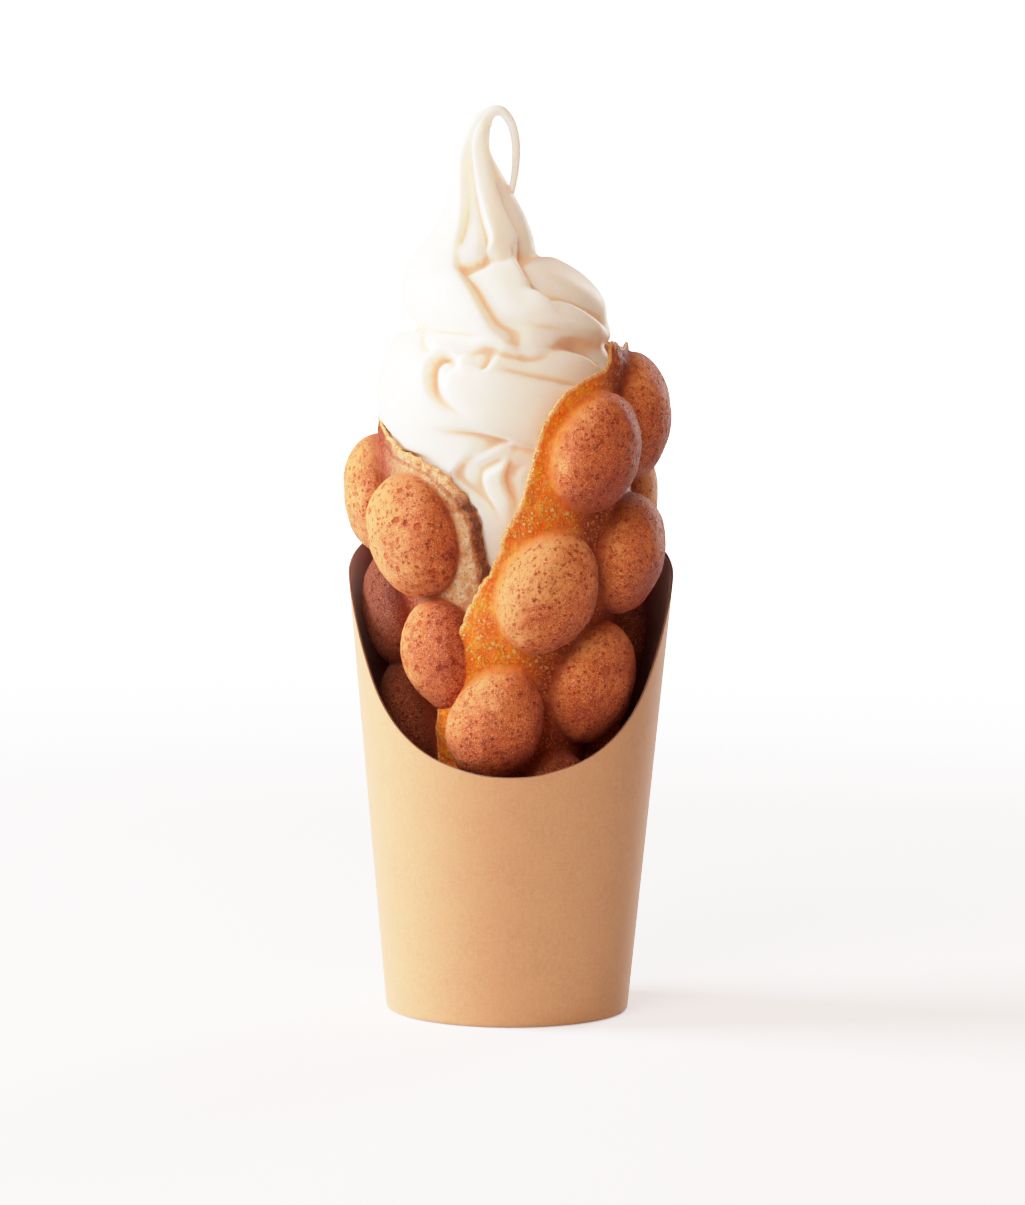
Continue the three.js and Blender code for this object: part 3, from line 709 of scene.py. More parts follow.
    # flap crust: pale, and made paler still as a painted highlight where the key light falls on this left-facing flap
    flapc = g.mix(g.remap(mott, 0.38, 0.62), srgb(245, 184, 126), srgb(254, 226, 188))
    flapc = g.mix(g.remap(patch, 0.50, 0.66, 0.0, 0.65), flapc, srgb(212, 112, 46))
    flapc = g.mix(g.remap(grit, 0.54, 0.7, 0.0, 0.6), flapc, srgb(248, 202, 148))
    flapc = g.mix(g.mul(g.remap(fleck, 0.56, 0.66), 0.6), flapc, srgb(176, 78, 28))
    flapc = g.mix(g.mul(g.mul(g.remap(room, 2.2, 2.9), g.remap(room, 4.2, 3.4)), 0.7), flapc, srgb(196, 100, 44))
    webc = g.mix(flap, webc, flapc)
    col = g.mix(web, crust, webc)
    col = g.mix(g.mul(gold, g.sub(1.0, web)), col, g.mix(0.7, col, web_gold))
    # inner face: paler
    col = g.mix(g.mul(inner, 0.8), col, g.mix(mott, srgb(214, 122, 56), srgb(240, 176, 108)))
    # cream lip along the cut edge
    edge_col = g.mix(g.remap(grit, 0.42, 0.62), g.mix(flap, srgb(250, 152, 34), srgb(236, 144, 70)), srgb(255, 222, 166))
    lip = g.remap(g.add(g.sub(room, g.mul(flap, 0.5)), g.mul(g.sub(mott, 0.5), 1.0)), 1.0, 0.35, 0.0, 0.95)
    col = g.mix(lip, col, edge_col)
    # painted shade: a dark strip beside the pale lip on this stretch of the flap's edge, for the shaded gap behind it
    under = g.attr("under")
    col = g.mix(g.mul(under, 0.92), col, g.mix(g.remap(mott, 0.4, 0.62), srgb(92, 34, 18), srgb(158, 78, 42)))
    # dark specks
    sp = g.voronoi(g.scaled(co, 1.0, (31, 5, 9)), 0.36)
    spr = g.node("ShaderNodeSeparateColor")
    g.put(spr.inputs[0], sp.outputs["Color"])
    speck = g.mul(g.remap(sp.outputs["Distance"], 0.1, 0.05), g.math("LESS_THAN", spr.outputs[0], 0.3))
    col = g.mix(g.mul(speck, 0.75), col, srgb(70, 34, 22))
    g.put(bsdf.inputs["Base Color"], col)
    rough = g.mix(g.mul(web, gold), (0.50, 0.50, 0.50, 1), (0.24, 0.24, 0.24, 1))
    g.put(bsdf.inputs["Roughness"], g.math("MAXIMUM", rough, g.mul(pit, 0.75)))
    bsdf.inputs["Specular IOR Level"].default_value = 0.35
    bsdf.inputs["Sheen Weight"].default_value = 0.05
    bsdf.inputs["Sheen Roughness"].default_value = 0.3
    # relief
    h = g.mul(pit, -1.0)
    h = g.add(h, g.mul(g.mul(ff, web), 0.9))
    h = g.add(h, g.mul(g.mul(g.sub(streak, 0.5), web), 1.4))
    h = g.add(h, g.mul(g.mul(froth, web), 0.7))
    h = g.add(h, g.mul(g.sub(mott, 0.5), 0.7))
    h = g.add(h, g.mul(g.sub(grit, 0.5), 0.6))
    h = g.add(h, g.mul(g.sub(fleck, 0.5), 0.4))
    g.put(bsdf.inputs["Normal"], g.bump(h, 0.0009, 0.9))
    return m


def cream_material():
    m, nt, nodes, links, bsdf = material("soft_serve_cream")
    g = Net(nt)
    co = g.scaled(g.coords(), 1000.0)
    hollow = g.attr("hollow")
    slow = g.noise(co, 0.06, 2.0)
    fine = g.noise(co, 2.2, 3.0, 0.6)
    mid = g.noise(co, 0.35, 3.0, 0.5)
    col = g.mix(slow, srgb(253, 249, 241), srgb(252, 246, 235))
    # painted shade: warm tan in the folds, for the warm shade and bounce light that gather there
    col = g.mix(g.mul(hollow, 0.6), col, srgb(238, 192, 142))
    g.put(bsdf.inputs["Base Color"], col)
    g.put(bsdf.inputs["Roughness"], g.remap(mid, 0.3, 0.7, 0.38, 0.5))
    bsdf.inputs["Subsurface Weight"].default_value = 0.9
    bsdf.inputs["Subsurface Radius"].default_value = (0.0095, 0.0058, 0.0036)
    bsdf.inputs["Subsurface Scale"].default_value = 1.0
    bsdf.inputs["Specular IOR Level"].default_value = 0.4
    h = g.add(g.mul(g.sub(fine, 0.5), 0.3), g.mul(g.sub(mid, 0.5), 0.4))
    g.put(bsdf.inputs["Normal"], g.bump(h, 0.0006, 0.5))
    return m


def paper_material():
    m, nt, nodes, links, bsdf = material("kraft_paper")
    g = Net(nt)
    co = g.scaled(g.coords(), 1000.0)
    inner, rim = g.attr("inner"), g.attr("rim")
    long_f = g.noise(g.scaled(co, (1.0, 1.0, 0.25)), 2.2, 4.0, 0.6, 0.6)
    cross_f = g.noise(g.scaled(co, (0.35, 0.35, 1.4)), 2.0, 3.0, 0.6, 0.8)
    cloud = g.noise(co, 0.10, 3.0, 0.5)
    t = g.add(g.mul(long_f, 0.5), g.mul(cross_f, 0.5))
    col = g.mix(g.remap(t, 0.35, 0.65), srgb(193, 140, 98), srgb(207, 157, 115))
    col = g.mix(g.remap(cloud, 0.3, 0.7, 0.0, 0.4), col, srgb(207, 156, 109))
    fleck = g.noise(co, 1.3, 5.0, 0.75)
    col = g.mix(g.remap(fleck, 0.66, 0.74, 0.0, 0.35), col, srgb(176, 120, 78))
    # painted shade: the inside wall is dark reddish brown, standing in for the shade inside the cup
    col = g.mix(inner, col, g.mix(t, srgb(134, 40, 24), srgb(154, 52, 34)))
    col = g.mix(g.mul(rim, 0.8), col, srgb(96, 50, 34))
    g.put(bsdf.inputs["Base Color"], col)
    g.put(bsdf.inputs["Roughness"], g.remap(t, 0.3, 0.7, 0.72, 0.85))
    bsdf.inputs["Specular IOR Level"].default_value = 0.6
    bsdf.inputs["Sheen Weight"].default_value = 0.5
    bsdf.inputs["Sheen Roughness"].default_value = 0.4
    h = g.add(g.mul(t, 0.5), g.mul(g.noise(co, 5.0, 2.0), 0.2))
    g.put(bsdf.inputs["Normal"], g.bump(h, 0.0002, 0.5))
    return m


# ------------------------------------------------------------------ paper cup, mm
CUP_BASE_R, CUP_FLARE, CUP_WALL, CUP_FLOOR_Z, CUP_FLOOR_T, CUP_FOOT_IN = 33.8, 0.0944, 0.6, 5.0, 0.8, 31.2
RIM_Z = [70, 70.4, 72, 74.3, 78, 83.3, 91, 102, 113.5, 121.5, 125, 127.8, 130, 132, 133.6, 134.8, 135.5, 135.9, 136]
SEAM_DEG, SEAM_STEP = 196.0, 0.22


def build_cup():
    n = 420
    deg = np.arange(n) * 360 / n
    t = np.radians(deg)
    top = spline(RIM_Z, np.abs((deg + 180) % 360 - 180) / 10, False)
    # the wall laps over itself along one glued seam at the back
    seam = SEAM_STEP * smooth(0.9, 0.0, np.abs(deg - SEAM_DEG - 0.45)) * 0 + SEAM_STEP * ((deg >= SEAM_DEG) & (deg < SEAM_DEG + 11)) \
        * smooth(SEAM_DEG + 11, SEAM_DEG + 8, deg)

    def ring(r, z):
        r = np.broadcast_to(r, (n,))
        z = np.broadcast_to(z, (n,))
        return np.stack([r * np.sin(t), -r * np.cos(t), z], 1)

    rows, inner, rim = [], [], []

    def add(r, z, is_inner=0.0, is_rim=0.0):
        rows.append(ring(r, z))
        inner.append(np.full(n, is_inner))
        rim.append(np.full(n, is_rim))

    # underside: recessed floor, folded foot
    for r in (0.01, 10, 20, 28, 30.4):
        add(r, CUP_FLOOR_Z)
    add(31.0, CUP_FLOOR_Z - 0.25)
    add(CUP_FOOT_IN, CUP_FLOOR_Z - 0.8)
    add(CUP_FOOT_IN, 1.0)
    add(CUP_FOOT_IN + 0.12, 0.25)
    add(CUP_FOOT_IN + 0.4, 0.0)
    add(32.2, 0.0)
    add(CUP_BASE_R - 0.75, 0.0)
    add(CUP_BASE_R - 0.3, 0.15)
    add(CUP_BASE_R - 0.03, 0.5)
    for z0 in (1.1, 2.2):
        add(CUP_BASE_R + CUP_FLARE * z0 + seam, z0)
    steps = 40
    for k in range(1, steps + 1):
        z = 3.4 + (top - 0.25 - 3.4) * k / steps
        add(CUP_BASE_R + CUP_FLARE * z + seam, z, 0.0, 0.0)
    add(CUP_BASE_R + CUP_FLARE * top - 0.03 + seam, top - 0.12, 0.0, 1.0)
    add(CUP_BASE_R + CUP_FLARE * top - 0.18 + seam, top, 0.0, 1.0)
    add(CUP_BASE_R + CUP_FLARE * top - CUP_WALL + 0.18, top, 0.5, 1.0)
    add(CUP_BASE_R + CUP_FLARE * top - CUP_WALL, top - 0.15, 1.0, 1.0)
    z_in = CUP_FLOOR_Z + CUP_FLOOR_T
    for k in range(0, steps):
        z = (top - 0.4) + (z_in + 1.2 - (top - 0.4)) * k / (steps - 1)
        add(CUP_BASE_R + CUP_FLARE * z - CUP_WALL, z, 1.0)
    r_in = CUP_BASE_R + CUP_FLARE * z_in - CUP_WALL
    add(r_in - 0.2, z_in + 0.3, 1.0)
    add(r_in - 1.2, z_in, 1.0)
    for r in (28, 20, 10, 0.01):
        add(r, z_in, 1.0)
    p = np.concatenate(rows)
    faces = []
    m = len(rows)
    for i in range(m - 1):
        a = i * n
        for j in range(n):
            j2 = (j + 1) % n
            faces.append((a + j, a + j2, a + n + j2, a + n + j))
    faces.append(tuple(range(n))[::-1])
    faces.append(tuple((m - 1) * n + k for k in range(n)))
    obj = add_mesh("cup", p, faces)
    add_attribute(obj, "inner", np.concatenate(inner))
    add_attribute(obj, "rim", np.concatenate(rim))
    return obj


# ------------------------------------------------------------------ soft serve, mm
# the coiled body, station by station from the peak down: left x and z, right x and z, half depth to the front and back
OUTLINE = np.array([
    (-7.6, 251.2, -6.2, 250.9, 0.7, 0.7), (-10.6, 249.5, -6.4, 248.8, 2.0, 2.0), (-12.5, 247.1, -6.6, 246.0, 2.9, 2.9),
    (-14.4, 243.5, -6.8, 242.9, 3.7, 3.7), (-16.0, 238.8, -6.4, 238.9, 4.7, 4.7), (-17.4, 233.8, -4.4, 234.5, 6.2, 6.2),
    (-18.7, 227.7, -1.9, 230.1, 8.2, 8.2), (-20.4, 221.4, 0.4, 226.0, 10.2, 10.2), (-23.3, 216.3, 2.9, 221.4, 12.6, 12.4),
    (-26.9, 211.9, 4.9, 216.4, 15.4, 14.8), (-29.6, 207.5, 6.9, 210.6, 18.6, 17.5), (-31.0, 203.5, 11.2, 209.6, 22.0, 20.5),
    (-31.4, 200.0, 18.3, 205.5, 25.0, 24.0), (-30.9, 196.7, 23.1, 201.4, 27.2, 26.2), (-29.5, 193.7, 25.5, 197.2, 28.6, 27.0),
    (-27.8, 191.5, 26.0, 192.8, 28.8, 26.4), (-25.9, 189.8, 26.6, 189.0, 28.5, 25.6), (-28.1, 189.6, 26.2, 186.1, 28.2, 26.4),
    (-30.6, 189.4, 27.0, 184.3, 28.2, 27.6), (-32.8, 187.9, 28.4, 182.2, 28.8, 29.0), (-35.2, 184.5, 29.1, 179.2, 30.4, 31.0),
    (-37.0, 180.0, 30.2, 175.1, 31.8, 32.4), (-37.9, 174.6, 30.4, 170.4, 32.6, 33.0), (-37.9, 169.6, 29.8, 165.9, 32.4, 32.6),
    (-37.1, 165.0, 28.3, 161.7, 31.2, 31.4), (-35.1, 161.0, 26.3, 157.9, 29.8, 29.6), (-32.8, 157.5, 24.0, 154.5, 28.8, 27.6),
    (-30.6, 154.6, 22.2, 151.6, 28.0, 26.0), (-29.4, 151.6, 21.6, 148.8, 27.4, 25.4), (-29.6, 148.0, 22.2, 145.6, 27.0, 25.8),
    (-30.2, 144.5, 22.8, 142.0, 26.8, 26.0), (-30.2, 140.5, 22.4, 137.2, 26.2, 25.4), (-28.8, 133.9, 20.8, 130.6, 24.8, 24.0),
    (-27.0, 125.5, 19.2, 123.2, 23.0, 22.4), (-25.0, 115.0, 17.1, 114.0, 20.8, 20.2), (-22.5, 102.0, 15.0, 101.5, 18.2, 17.6),
    (-19.5, 88.0, 12.6, 87.8, 15.2, 14.8), (-16.5, 75.0, 10.0, 75.0, 12.0, 11.6)], float)
# folds of the extruded cream: which side is high (1 left of the way it runs), height and width of the crest,
# depth and width of the valley, softness of the step, then azimuth, station and strength along it
FOLDS = [
    (-1, 0.7, 3.5, 1.4, 4.5, 1.0, [(-9.8, 1.25, 0.15), (-35.8, 2.25, 0.4), (-35.7, 3.11, 0.6), (-33.4, 4.05, 0.8), (-29.4, 5.10, 1), (-25.0, 6.25, 1), (-21.4, 7.40, 1), (-18.6, 8.52, 0.8)]),
    (1, 0.9, 3.0, 1.3, 2.0, 0.6, [(0.6, 1.50, 0.1), (-16.6, 2.55, 0.3), (-12.6, 3.60, 0.45), (-5.0, 4.50, 0.6), (-2.2, 5.65, 0.8), (3.1, 6.75, 1), (10.0, 7.89, 1), (15.7, 8.80, 1), (14.8, 9.44, 0.7)]),
    (-1, 0.3, 1.6, 2.0, 2.4, 0.7, [(16.0, 9.39, 0.3), (11.2, 9.79, 1), (2.4, 9.96, 1), (-5.8, 10.02, 0.8), (-11.8, 10.23, 0.2)]),
    (-1, 1.0, 6.0, 2.2, 5.0, 1.1, [(-14.6, 9.78, 0.3), (-11.9, 10.74, 0.9), (-11.7, 12.10, 1), (-11.8, 13.37, 1), (-9.5, 15.15, 1), (0.2, 17.10, 1), (5.6, 18.72, 0.4)]),
    (-1, 0.9, 4.0, 1.9, 4.0, 0.9, [(33.8, 2.65, 0.15), (50.2, 3.80, 0.35), (45.4, 5.10, 0.6), (40.3, 6.31, 0.8), (40.9, 7.70, 1), (48.2, 8.85, 1), (45.7, 9.64, 0.9), (37.4, 10.51, 0.9), (27.9, 11.71, 1), (26.4, 12.72, 1), (28.1, 13.29, 1)]),
    (-1, 1.2, 5.0, 3.6, 4.5, 0.8, [(26.4, 12.72, 0.8), (35.0, 13.23, 1), (45.8, 13.87, 1), (59.3, 14.65, 1), (70.6, 15.23, 0.6)]),
    (1, 0.6, 4.0, 1.1, 4.0, 1.6, [(2.6, 13.92, 0), (12.6, 14.48, 0.5), (24.1, 14.77, 1), (37.4, 15.13, 1), (58.0, 15.81, 0.8)]),
    (-1, 0.2, 1.5, 0.7, 1.2, 0.5, [(49.4, 9.00, 0), (38.4, 9.39, 1), (37.5, 9.91, 1), (36.9, 10.54, 0)]),
    (1, 0.8, 4.0, 1.8, 3.0, 0.8, [(-63.9, 13.47, 0.1), (-65.2, 14.66, 0.8), (-49.4, 18.38, 1), (-41.4, 19.27, 0.8), (-33.2, 19.61, 0.3)]),
    (1, 0.9, 5.0, 1.5, 2.8, 0.7, [(-33.0, 19.67, 0.3), (-22.9, 19.35, 0.3), (-15.8, 19.25, 0.5), (-9.3, 18.65, 0.9), (-1.0, 18.88, 1), (7.9, 19.04, 1), (16.2, 18.95, 0.8), (24.3, 18.11, 0.4)]),
    (-1, 0.9, 3.5, 3.6, 4.5, 0.8, [(25.5, 18.06, 0.3), (35.4, 18.00, 0.8), (43.5, 18.40, 1), (50.7, 19.13, 1), (57.1, 19.76, 0.8)]),
    (-1, 0.6, 4.0, 1.3, 3.0, 0.9, [(-6.9, 20.35, 0.2), (2.6, 20.52, 0.8), (15.4, 20.77, 1), (23.7, 20.90, 1), (31.6, 21.07, 1), (40.2, 21.18, 0.7)]),
    (1, 0.5, 3.0, 1.7, 2.0, 0.5, [(-4.2, 19.23, 0.2), (-5.4, 19.88, 1), (-8.3, 20.45, 1), (-10.8, 20.35, 0.2)]),
    (-1, 1.0, 4.0, 3.6, 3.0, 0.8, [(-22.2, 20.22, 0.3), (-26.6, 19.73, 0.9), (-33.0, 19.78, 1), (-36.2, 20.49, 1), (-35.8, 21.22, 1), (-34.0, 21.86, 0.9), (-29.8, 22.43, 0.6), (-23.8, 22.93, 0.35), (-15.4, 23.37, 0.1)]),
    (1, 0.6, 3.5, 0.9, 1.8, 0.6, [(-22.2, 20.22, 1), (-24.2, 20.68, 1), (-26.0, 21.19, 0.6), (-27.4, 21.72, 0)]),
    (-1, 0.2, 2.5, 0.7, 3.0, 1.4, [(-59.5, 17.82, 0), (-57.6, 19.63, 0.7), (-61.6, 20.86, 1), (-63.3, 21.85, 1), (-61.4, 22.68, 1), (-57.4, 23.38, 0.7), (-52.8, 24.32, 0.2)]),
    (1, 0.7, 6.0, 1.7, 3.2, 1.0, [(-31.7, 24.06, 0.2), (-23.4, 24.08, 0.5), (-12.6, 24.07, 0.8), (-4.5, 24.25, 1), (2.0, 24.51, 1), (7.8, 24.77, 1), (16.6, 24.92, 1)]),
    (-1, 0.6, 3.0, 1.5, 3.0, 0.6, [(-10.7, 26.11, 0.3), (-3.1, 25.45, 0.8), (3.7, 24.90, 1), (8.6, 24.73, 1), (16.6, 24.92, 1)]),
    (-1, 0.7, 1.8, 2.0, 4.0, 0.9, [(-19.5, 26.52, 0.5), (-26.2, 27.43, 1), (-28.4, 28.16, 1), (-22.6, 28.83, 1), (-16.1, 29.30, 0.9), (-7.8, 29.87, 0.6), (-2.2, 30.57, 0.2)]),
    (1, 0.7, 3.0, 1.5, 3.0, 0.6, [(7.9, 25.73, 0.3), (3.2, 26.40, 1), (-2.2, 27.00, 1), (-7.4, 27.60, 1), (-8.9, 28.40, 0.9), (-5.8, 29.52, 0.6), (0.3, 30.43, 0.2)]),
    (-1, 0.7, 3.0, 2.2, 4.0, 0.9, [(7.9, 25.73, 0.3), (5.7, 26.70, 1), (3.9, 28.00, 1), (5.8, 28.98, 1), (8.4, 29.76, 0.7), (8.3, 30.45, 0.3)]),
    (1, 0.4, 2.5, 0.8, 1.5, 0.5, [(19.4, 26.53, 0.3), (15.7, 26.84, 1), (13.4, 27.33, 1), (12.9, 28.03, 0.2)]),
]
# the same kind of folds carried on round the back
FOLDS_BACK = [
    (-1, 0.8, 4.0, 1.8, 4.0, 1.0, [(128, 2.6, 0.2), (126, 4.5, 0.6), (127, 6.3, 1), (131, 8.4, 1), (138, 10.2, 1), (150, 12.0, 1), (168, 13.8, 1), (192, 15.6, 0.9), (215, 17.2, 0.3)]),
    (-1, 0.8, 4.0, 1.8, 4.0, 1.0, [(208, 2.8, 0.2), (206, 4.5, 0.6), (207, 6.5, 1), (212, 8.6, 1), (220, 10.4, 1), (232, 12.2, 1), (248, 13.8, 0.9), (262, 15.0, 0.3)]),
    (-1, 0.6, 5.0, 1.2, 5.0, 1.4, [(78, 9.5, 0), (88, 10.8, 0.7), (104, 12.2, 1), (126, 13.6, 1), (150, 14.8, 1), (172, 15.8, 0.4)]),
    (1, 0.9, 5.0, 1.8, 3.2, 0.9, [(75, 16.4, 0.3), (95, 16.9, 0.8), (120, 17.4, 1), (150, 17.7, 1), (180, 17.7, 1), (210, 17.5, 1), (240, 17.2, 1), (262, 16.7, 0.8), (280, 16.4, 0.2)]),
    (-1, 0.8, 4.5, 1.8, 4.0, 1.0, [(72, 19.2, 0), (88, 20.0, 0.8), (110, 21.0, 1), (135, 22.2, 1), (158, 23.4, 1), (178, 24.6, 0.6)]),
    (-1, 0.8, 4.5, 1.8, 4.0, 1.0, [(132, 18.8, 0.1), (150, 19.5, 0.9), (175, 20.6, 1), (200, 21.9, 1), (222, 23.2, 1), (242, 24.6, 0.6)]),
    (-1, 0.7, 4.5, 1.5, 4.0, 1.1, [(196, 18.7, 0.1), (214, 19.4, 0.9), (236, 20.6, 1), (256, 22.0, 1), (272, 23.4, 0.7), (284, 24.4, 0.1)]),
    (1, 0.8, 5.0, 1.8, 3.2, 0.9, [(20, 25.2, 0.3), (50, 25.8, 1), (80, 26.4, 1), (120, 26.8, 1), (170, 27.0, 1), (220, 27.0, 1), (260, 26.6, 1), (300, 26.2, 0.6), (320, 26.4, 0.1)]),
]
HOOK = [(-8.6, 0, 246.5), (-7.0, 0, 249.6), (-4.4, 0, 250.3), (-1.9, 0, 248.2), (-0.3, 0, 244.4), (0.3, 0, 240), (0.2, 0, 235), (-0.4, 0, 230.5), (-1.5, 0, 226)]
HOOK_R = [2.2, 1.8, 1.5, 1.35, 1.25, 1.2, 1.1, 1.0, 1.1]
CREAM_ROUND, CREAM_ROWS = 336, 262


def body(a, u):
    """Point of the smooth body at azimuth a (degrees, 0 to the front, 90 to the right) and station u."""
    o = spline(OUTLINE, u, False)
    s, c = np.sin(np.radians(a)), np.cos(np.radians(a))
    mid_x, mid_z = (o[..., 0] + o[..., 2]) / 2, (o[..., 1] + o[..., 3]) / 2
    half_x, half_z = (o[..., 2] - o[..., 0]) / 2, (o[..., 3] - o[..., 1]) / 2
    return np.stack([mid_x + half_x * s, np.where(c > 0, -o[..., 4], -o[..., 5]) * c, mid_z + half_z * s], -1)


def body_normal(a, u):
    e = 0.02
    d1 = body(a + 1.0, u) - body(a - 1.0, u)
    d2 = body(a, u + e) - body(a, u - e)
    n = np.cross(d2, d1)
    return n / np.maximum(np.linalg.norm(n, axis=-1), 1e-9)[..., None]


def fold_lift(p, fold):
    """How far one fold lifts or lowers points of the smooth body."""
    side, high, wide, low, low_wide, soft, line = fold
    line = np.array(line, float)
    t = np.linspace(0, len(line) - 1, 12 * (len(line) - 1) + 1)
    q = spline(line, t, False)
    q[-1] = line[-1]
    at = body(q[:, 0], q[:, 1])
    n = body_normal(q[:, 0], q[:, 1])
    tang = np.gradient(at, axis=0)
    tang /= np.linalg.norm(tang, axis=1)[:, None]
    across = np.cross(n, tang)
    across /= np.linalg.norm(across, axis=1)[:, None]
    reach = 3.2 * max(wide, low_wide)
    near = np.all((p > at.min(0) - reach) & (p < at.max(0) + reach), axis=1)
    idx = np.nonzero(near)[0]
    out = np.zeros(len(p))
    if not len(idx):
        return out
    pp = p[idx]
    best = np.full(len(pp), 1e9)
    k = np.zeros(len(pp), int)
    for j in range(len(at)):
        d = ((pp - at[j]) ** 2).sum(1)
        m = d < best
        best[m], k[m] = d[m], j
    away = pp - at[k]
    s = side * (away * across[k]).sum(1)
    over = (away * tang[k]).sum(1)
    strength = np.clip(q[k, 2], 0, 1.2)
    end = (k == 0) | (k == len(at) - 1)
    strength = np.where(end, strength * np.exp(-(over / 3.0) ** 2), strength)
    off = np.sqrt(np.maximum(best - s ** 2 - np.where(end, over ** 2, 0), 0))
    strength = strength * np.exp(-(off / 9.0) ** 2)
    step = smooth(-soft, soft, s)
    crest = high * np.exp(-(np.maximum(s, 0) / wide) ** 2)
    valley = -low * np.exp(-(np.abs(np.minimum(s, 0)) / low_wide) ** 2)
    out[idx] = strength * (crest * step + valley * (1 - step))
    return out


def body_mesh():
    u = np.linspace(0, len(OUTLINE) - 1, 4001)
    o = spline(OUTLINE, u, False)
    mid = np.stack([np.zeros(len(u)), -o[:, 4], (o[:, 1] + o[:, 3]) / 2], 1)
    left = np.stack([o[:, 0], np.zeros(len(u)), o[:, 1]], 1)
    length = (np.linalg.norm(np.diff(mid, axis=0), axis=1) + np.linalg.norm(np.diff(left, axis=0), axis=1)) / 2
    length = np.r_[0, np.cumsum(length * np.where(u[1:] > 31.5, 0.3, 1.0))]
    rows = np.interp(np.linspace(0, length[-1], CREAM_ROWS), length, u)
    a = np.arange(CREAM_ROUND) * 360 / CREAM_ROUND
    uu, aa = np.meshgrid(rows, a, indexing="ij")
    p = body(aa.ravel(), uu.ravel())
    n = body_normal(aa.ravel(), uu.ravel())
    lift = np.zeros(len(p))
    for fold in FOLDS + FOLDS_BACK:
        lift += fold_lift(p, fold)
    # slow unevenness of the swirl
    lift += 0.25 * fbm(p / 14.0, 2, 71) * smooth(3, 9, uu.ravel())
    p = p + n * lift[:, None]
    m, r = CREAM_ROUND, CREAM_ROWS
    top = p[:m].mean(0) + [0, 0, 0.35]
    low = p[-m:].mean(0)
    pts = np.concatenate([p, top[None], low[None]])
    faces = []
    for i in range(r - 1):
        for j in range(m):
            j2 = (j + 1) % m
            faces.append((i * m + j, (i + 1) * m + j, (i + 1) * m + j2, i * m + j2))
    for j in range(m):
        j2 = (j + 1) % m
        faces.append((r * m, j, j2))
        faces.append((r * m + 1, (r - 1) * m + j2, (r - 1) * m + j))
    return pts, faces


def tube_mesh(line, radii, sides=20, step=0.8):
    line, radii = np.asarray(line, float), np.asarray(radii, float)
    s = np.r_[0, np.cumsum(np.linalg.norm(np.diff(line, axis=0), axis=1))]
    q = np.linspace(0, s[-1], max(6, int(s[-1] / step)))
    c = cubic(s, line, q)
    r = cubic(s, radii, q)
    tang = np.gradient(c, axis=0)
    tang /= np.linalg.norm(tang, axis=1)[:, None]
    u = np.array([0.0, 1.0, 0])
    pts = []
    a = np.arange(sides) * 2 * math.pi / sides
    for i in range(len(q)):
        u = u - tang[i] * (u @ tang[i])
        u /= np.linalg.norm(u)
        v = np.cross(tang[i], u)
        pts.append(c[i] + r[i] * (np.cos(a)[:, None] * u + np.sin(a)[:, None] * v))
    pts = np.concatenate(pts)
    faces = [(i * sides + j, i * sides + (j + 1) % sides, (i + 1) * sides + (j + 1) % sides, (i + 1) * sides + j)
             for i in range(len(q) - 1) for j in range(sides)]
    faces.append(tuple(range(sides))[::-1])
    faces.append(tuple((len(q) - 1) * sides + j for j in range(sides)))
    return pts, faces


def inner_limit(p):
    """How far out a point of the cream may lie inside the sheet, by its place round and up."""
    deg = np.degrees(np.arctan2(p[:, 0], -p[:, 1]))
    lim = np.full(len(p), 99.0)
    for turn in (deg, deg + 360):
        xy = flat_of(turn, p[:, 2])
        room = true_room(xy)
        q, who, _ = nearest_bubble(xy)
        r = sheet_r(p[:, 2], turn)
        tall = np.minimum(BUB_IN, 0.36 * r)
        dome = np.sqrt(np.clip(1 - (q / 1.02) ** 2, 0, 1)) * bubbles[who, 4] * smooth(0, 3, room)
        here = r - 1.2 - 0.35 - tall * dome
        lim = np.where(room > -0.6, np.minimum(lim, here), lim)
    return lim


def outward(obj):
    """Face every shell of a closed mesh outward."""
    bm = bmesh.new()
    bm.from_mesh(obj.data)
    bmesh.ops.recalc_face_normals(bm, faces=bm.faces)
    bm.to_mesh(obj.data)
    bm.free()


def build_cream():
    obj = add_mesh("cream", *body_mesh())
    p = points_of(obj.data) / MM - ORIGIN
    e = edges_of(obj.data)
    p = relax(p, e, 1.0, 1)
    # keep inside the sheet
    r = np.hypot(p[:, 0], p[:, 1])
    lim = inner_limit(p)
    cut = np.where(r > lim, lim / np.maximum(r, 1e-6), 1.0)
    p[:, :2] *= cut[:, None]
    p = relax(p, e, 1.0, 1)
    obj.data.vertices.foreach_set("co", ((p + ORIGIN) * MM).astype(np.float32).ravel())
    obj.data.update()
    outward(obj)
    hook = add_mesh("cream_hook", *tube_mesh(HOOK, HOOK_R))
    outward(hook)
    mod = obj.modifiers.new("join", "BOOLEAN")
    mod.operation = "UNION"
    mod.solver = "MANIFOLD"
    mod.object = hook
    bpy.context.view_layer.update()
    ev = obj.evaluated_get(bpy.context.evaluated_depsgraph_get())
    done = bpy.data.meshes.new_from_object(ev)
    obj.modifiers.clear()
    done.materials.clear()
    obj.data = done
    bpy.data.objects.remove(hook)
    # how deep each point lies in a fold
    p = points_of(obj.data) / MM - ORIGIN
    blur = relax(p.copy(), edges_of(obj.data), 1.0, 40)
    depth = ((blur - p) * vertex_normals(obj.data)).sum(1)
    add_attribute(obj, "hollow", smooth(0.0, 0.5, depth))
    obj.data.polygons.foreach_set("use_smooth", np.ones(len(obj.data.polygons), bool))
    return obj


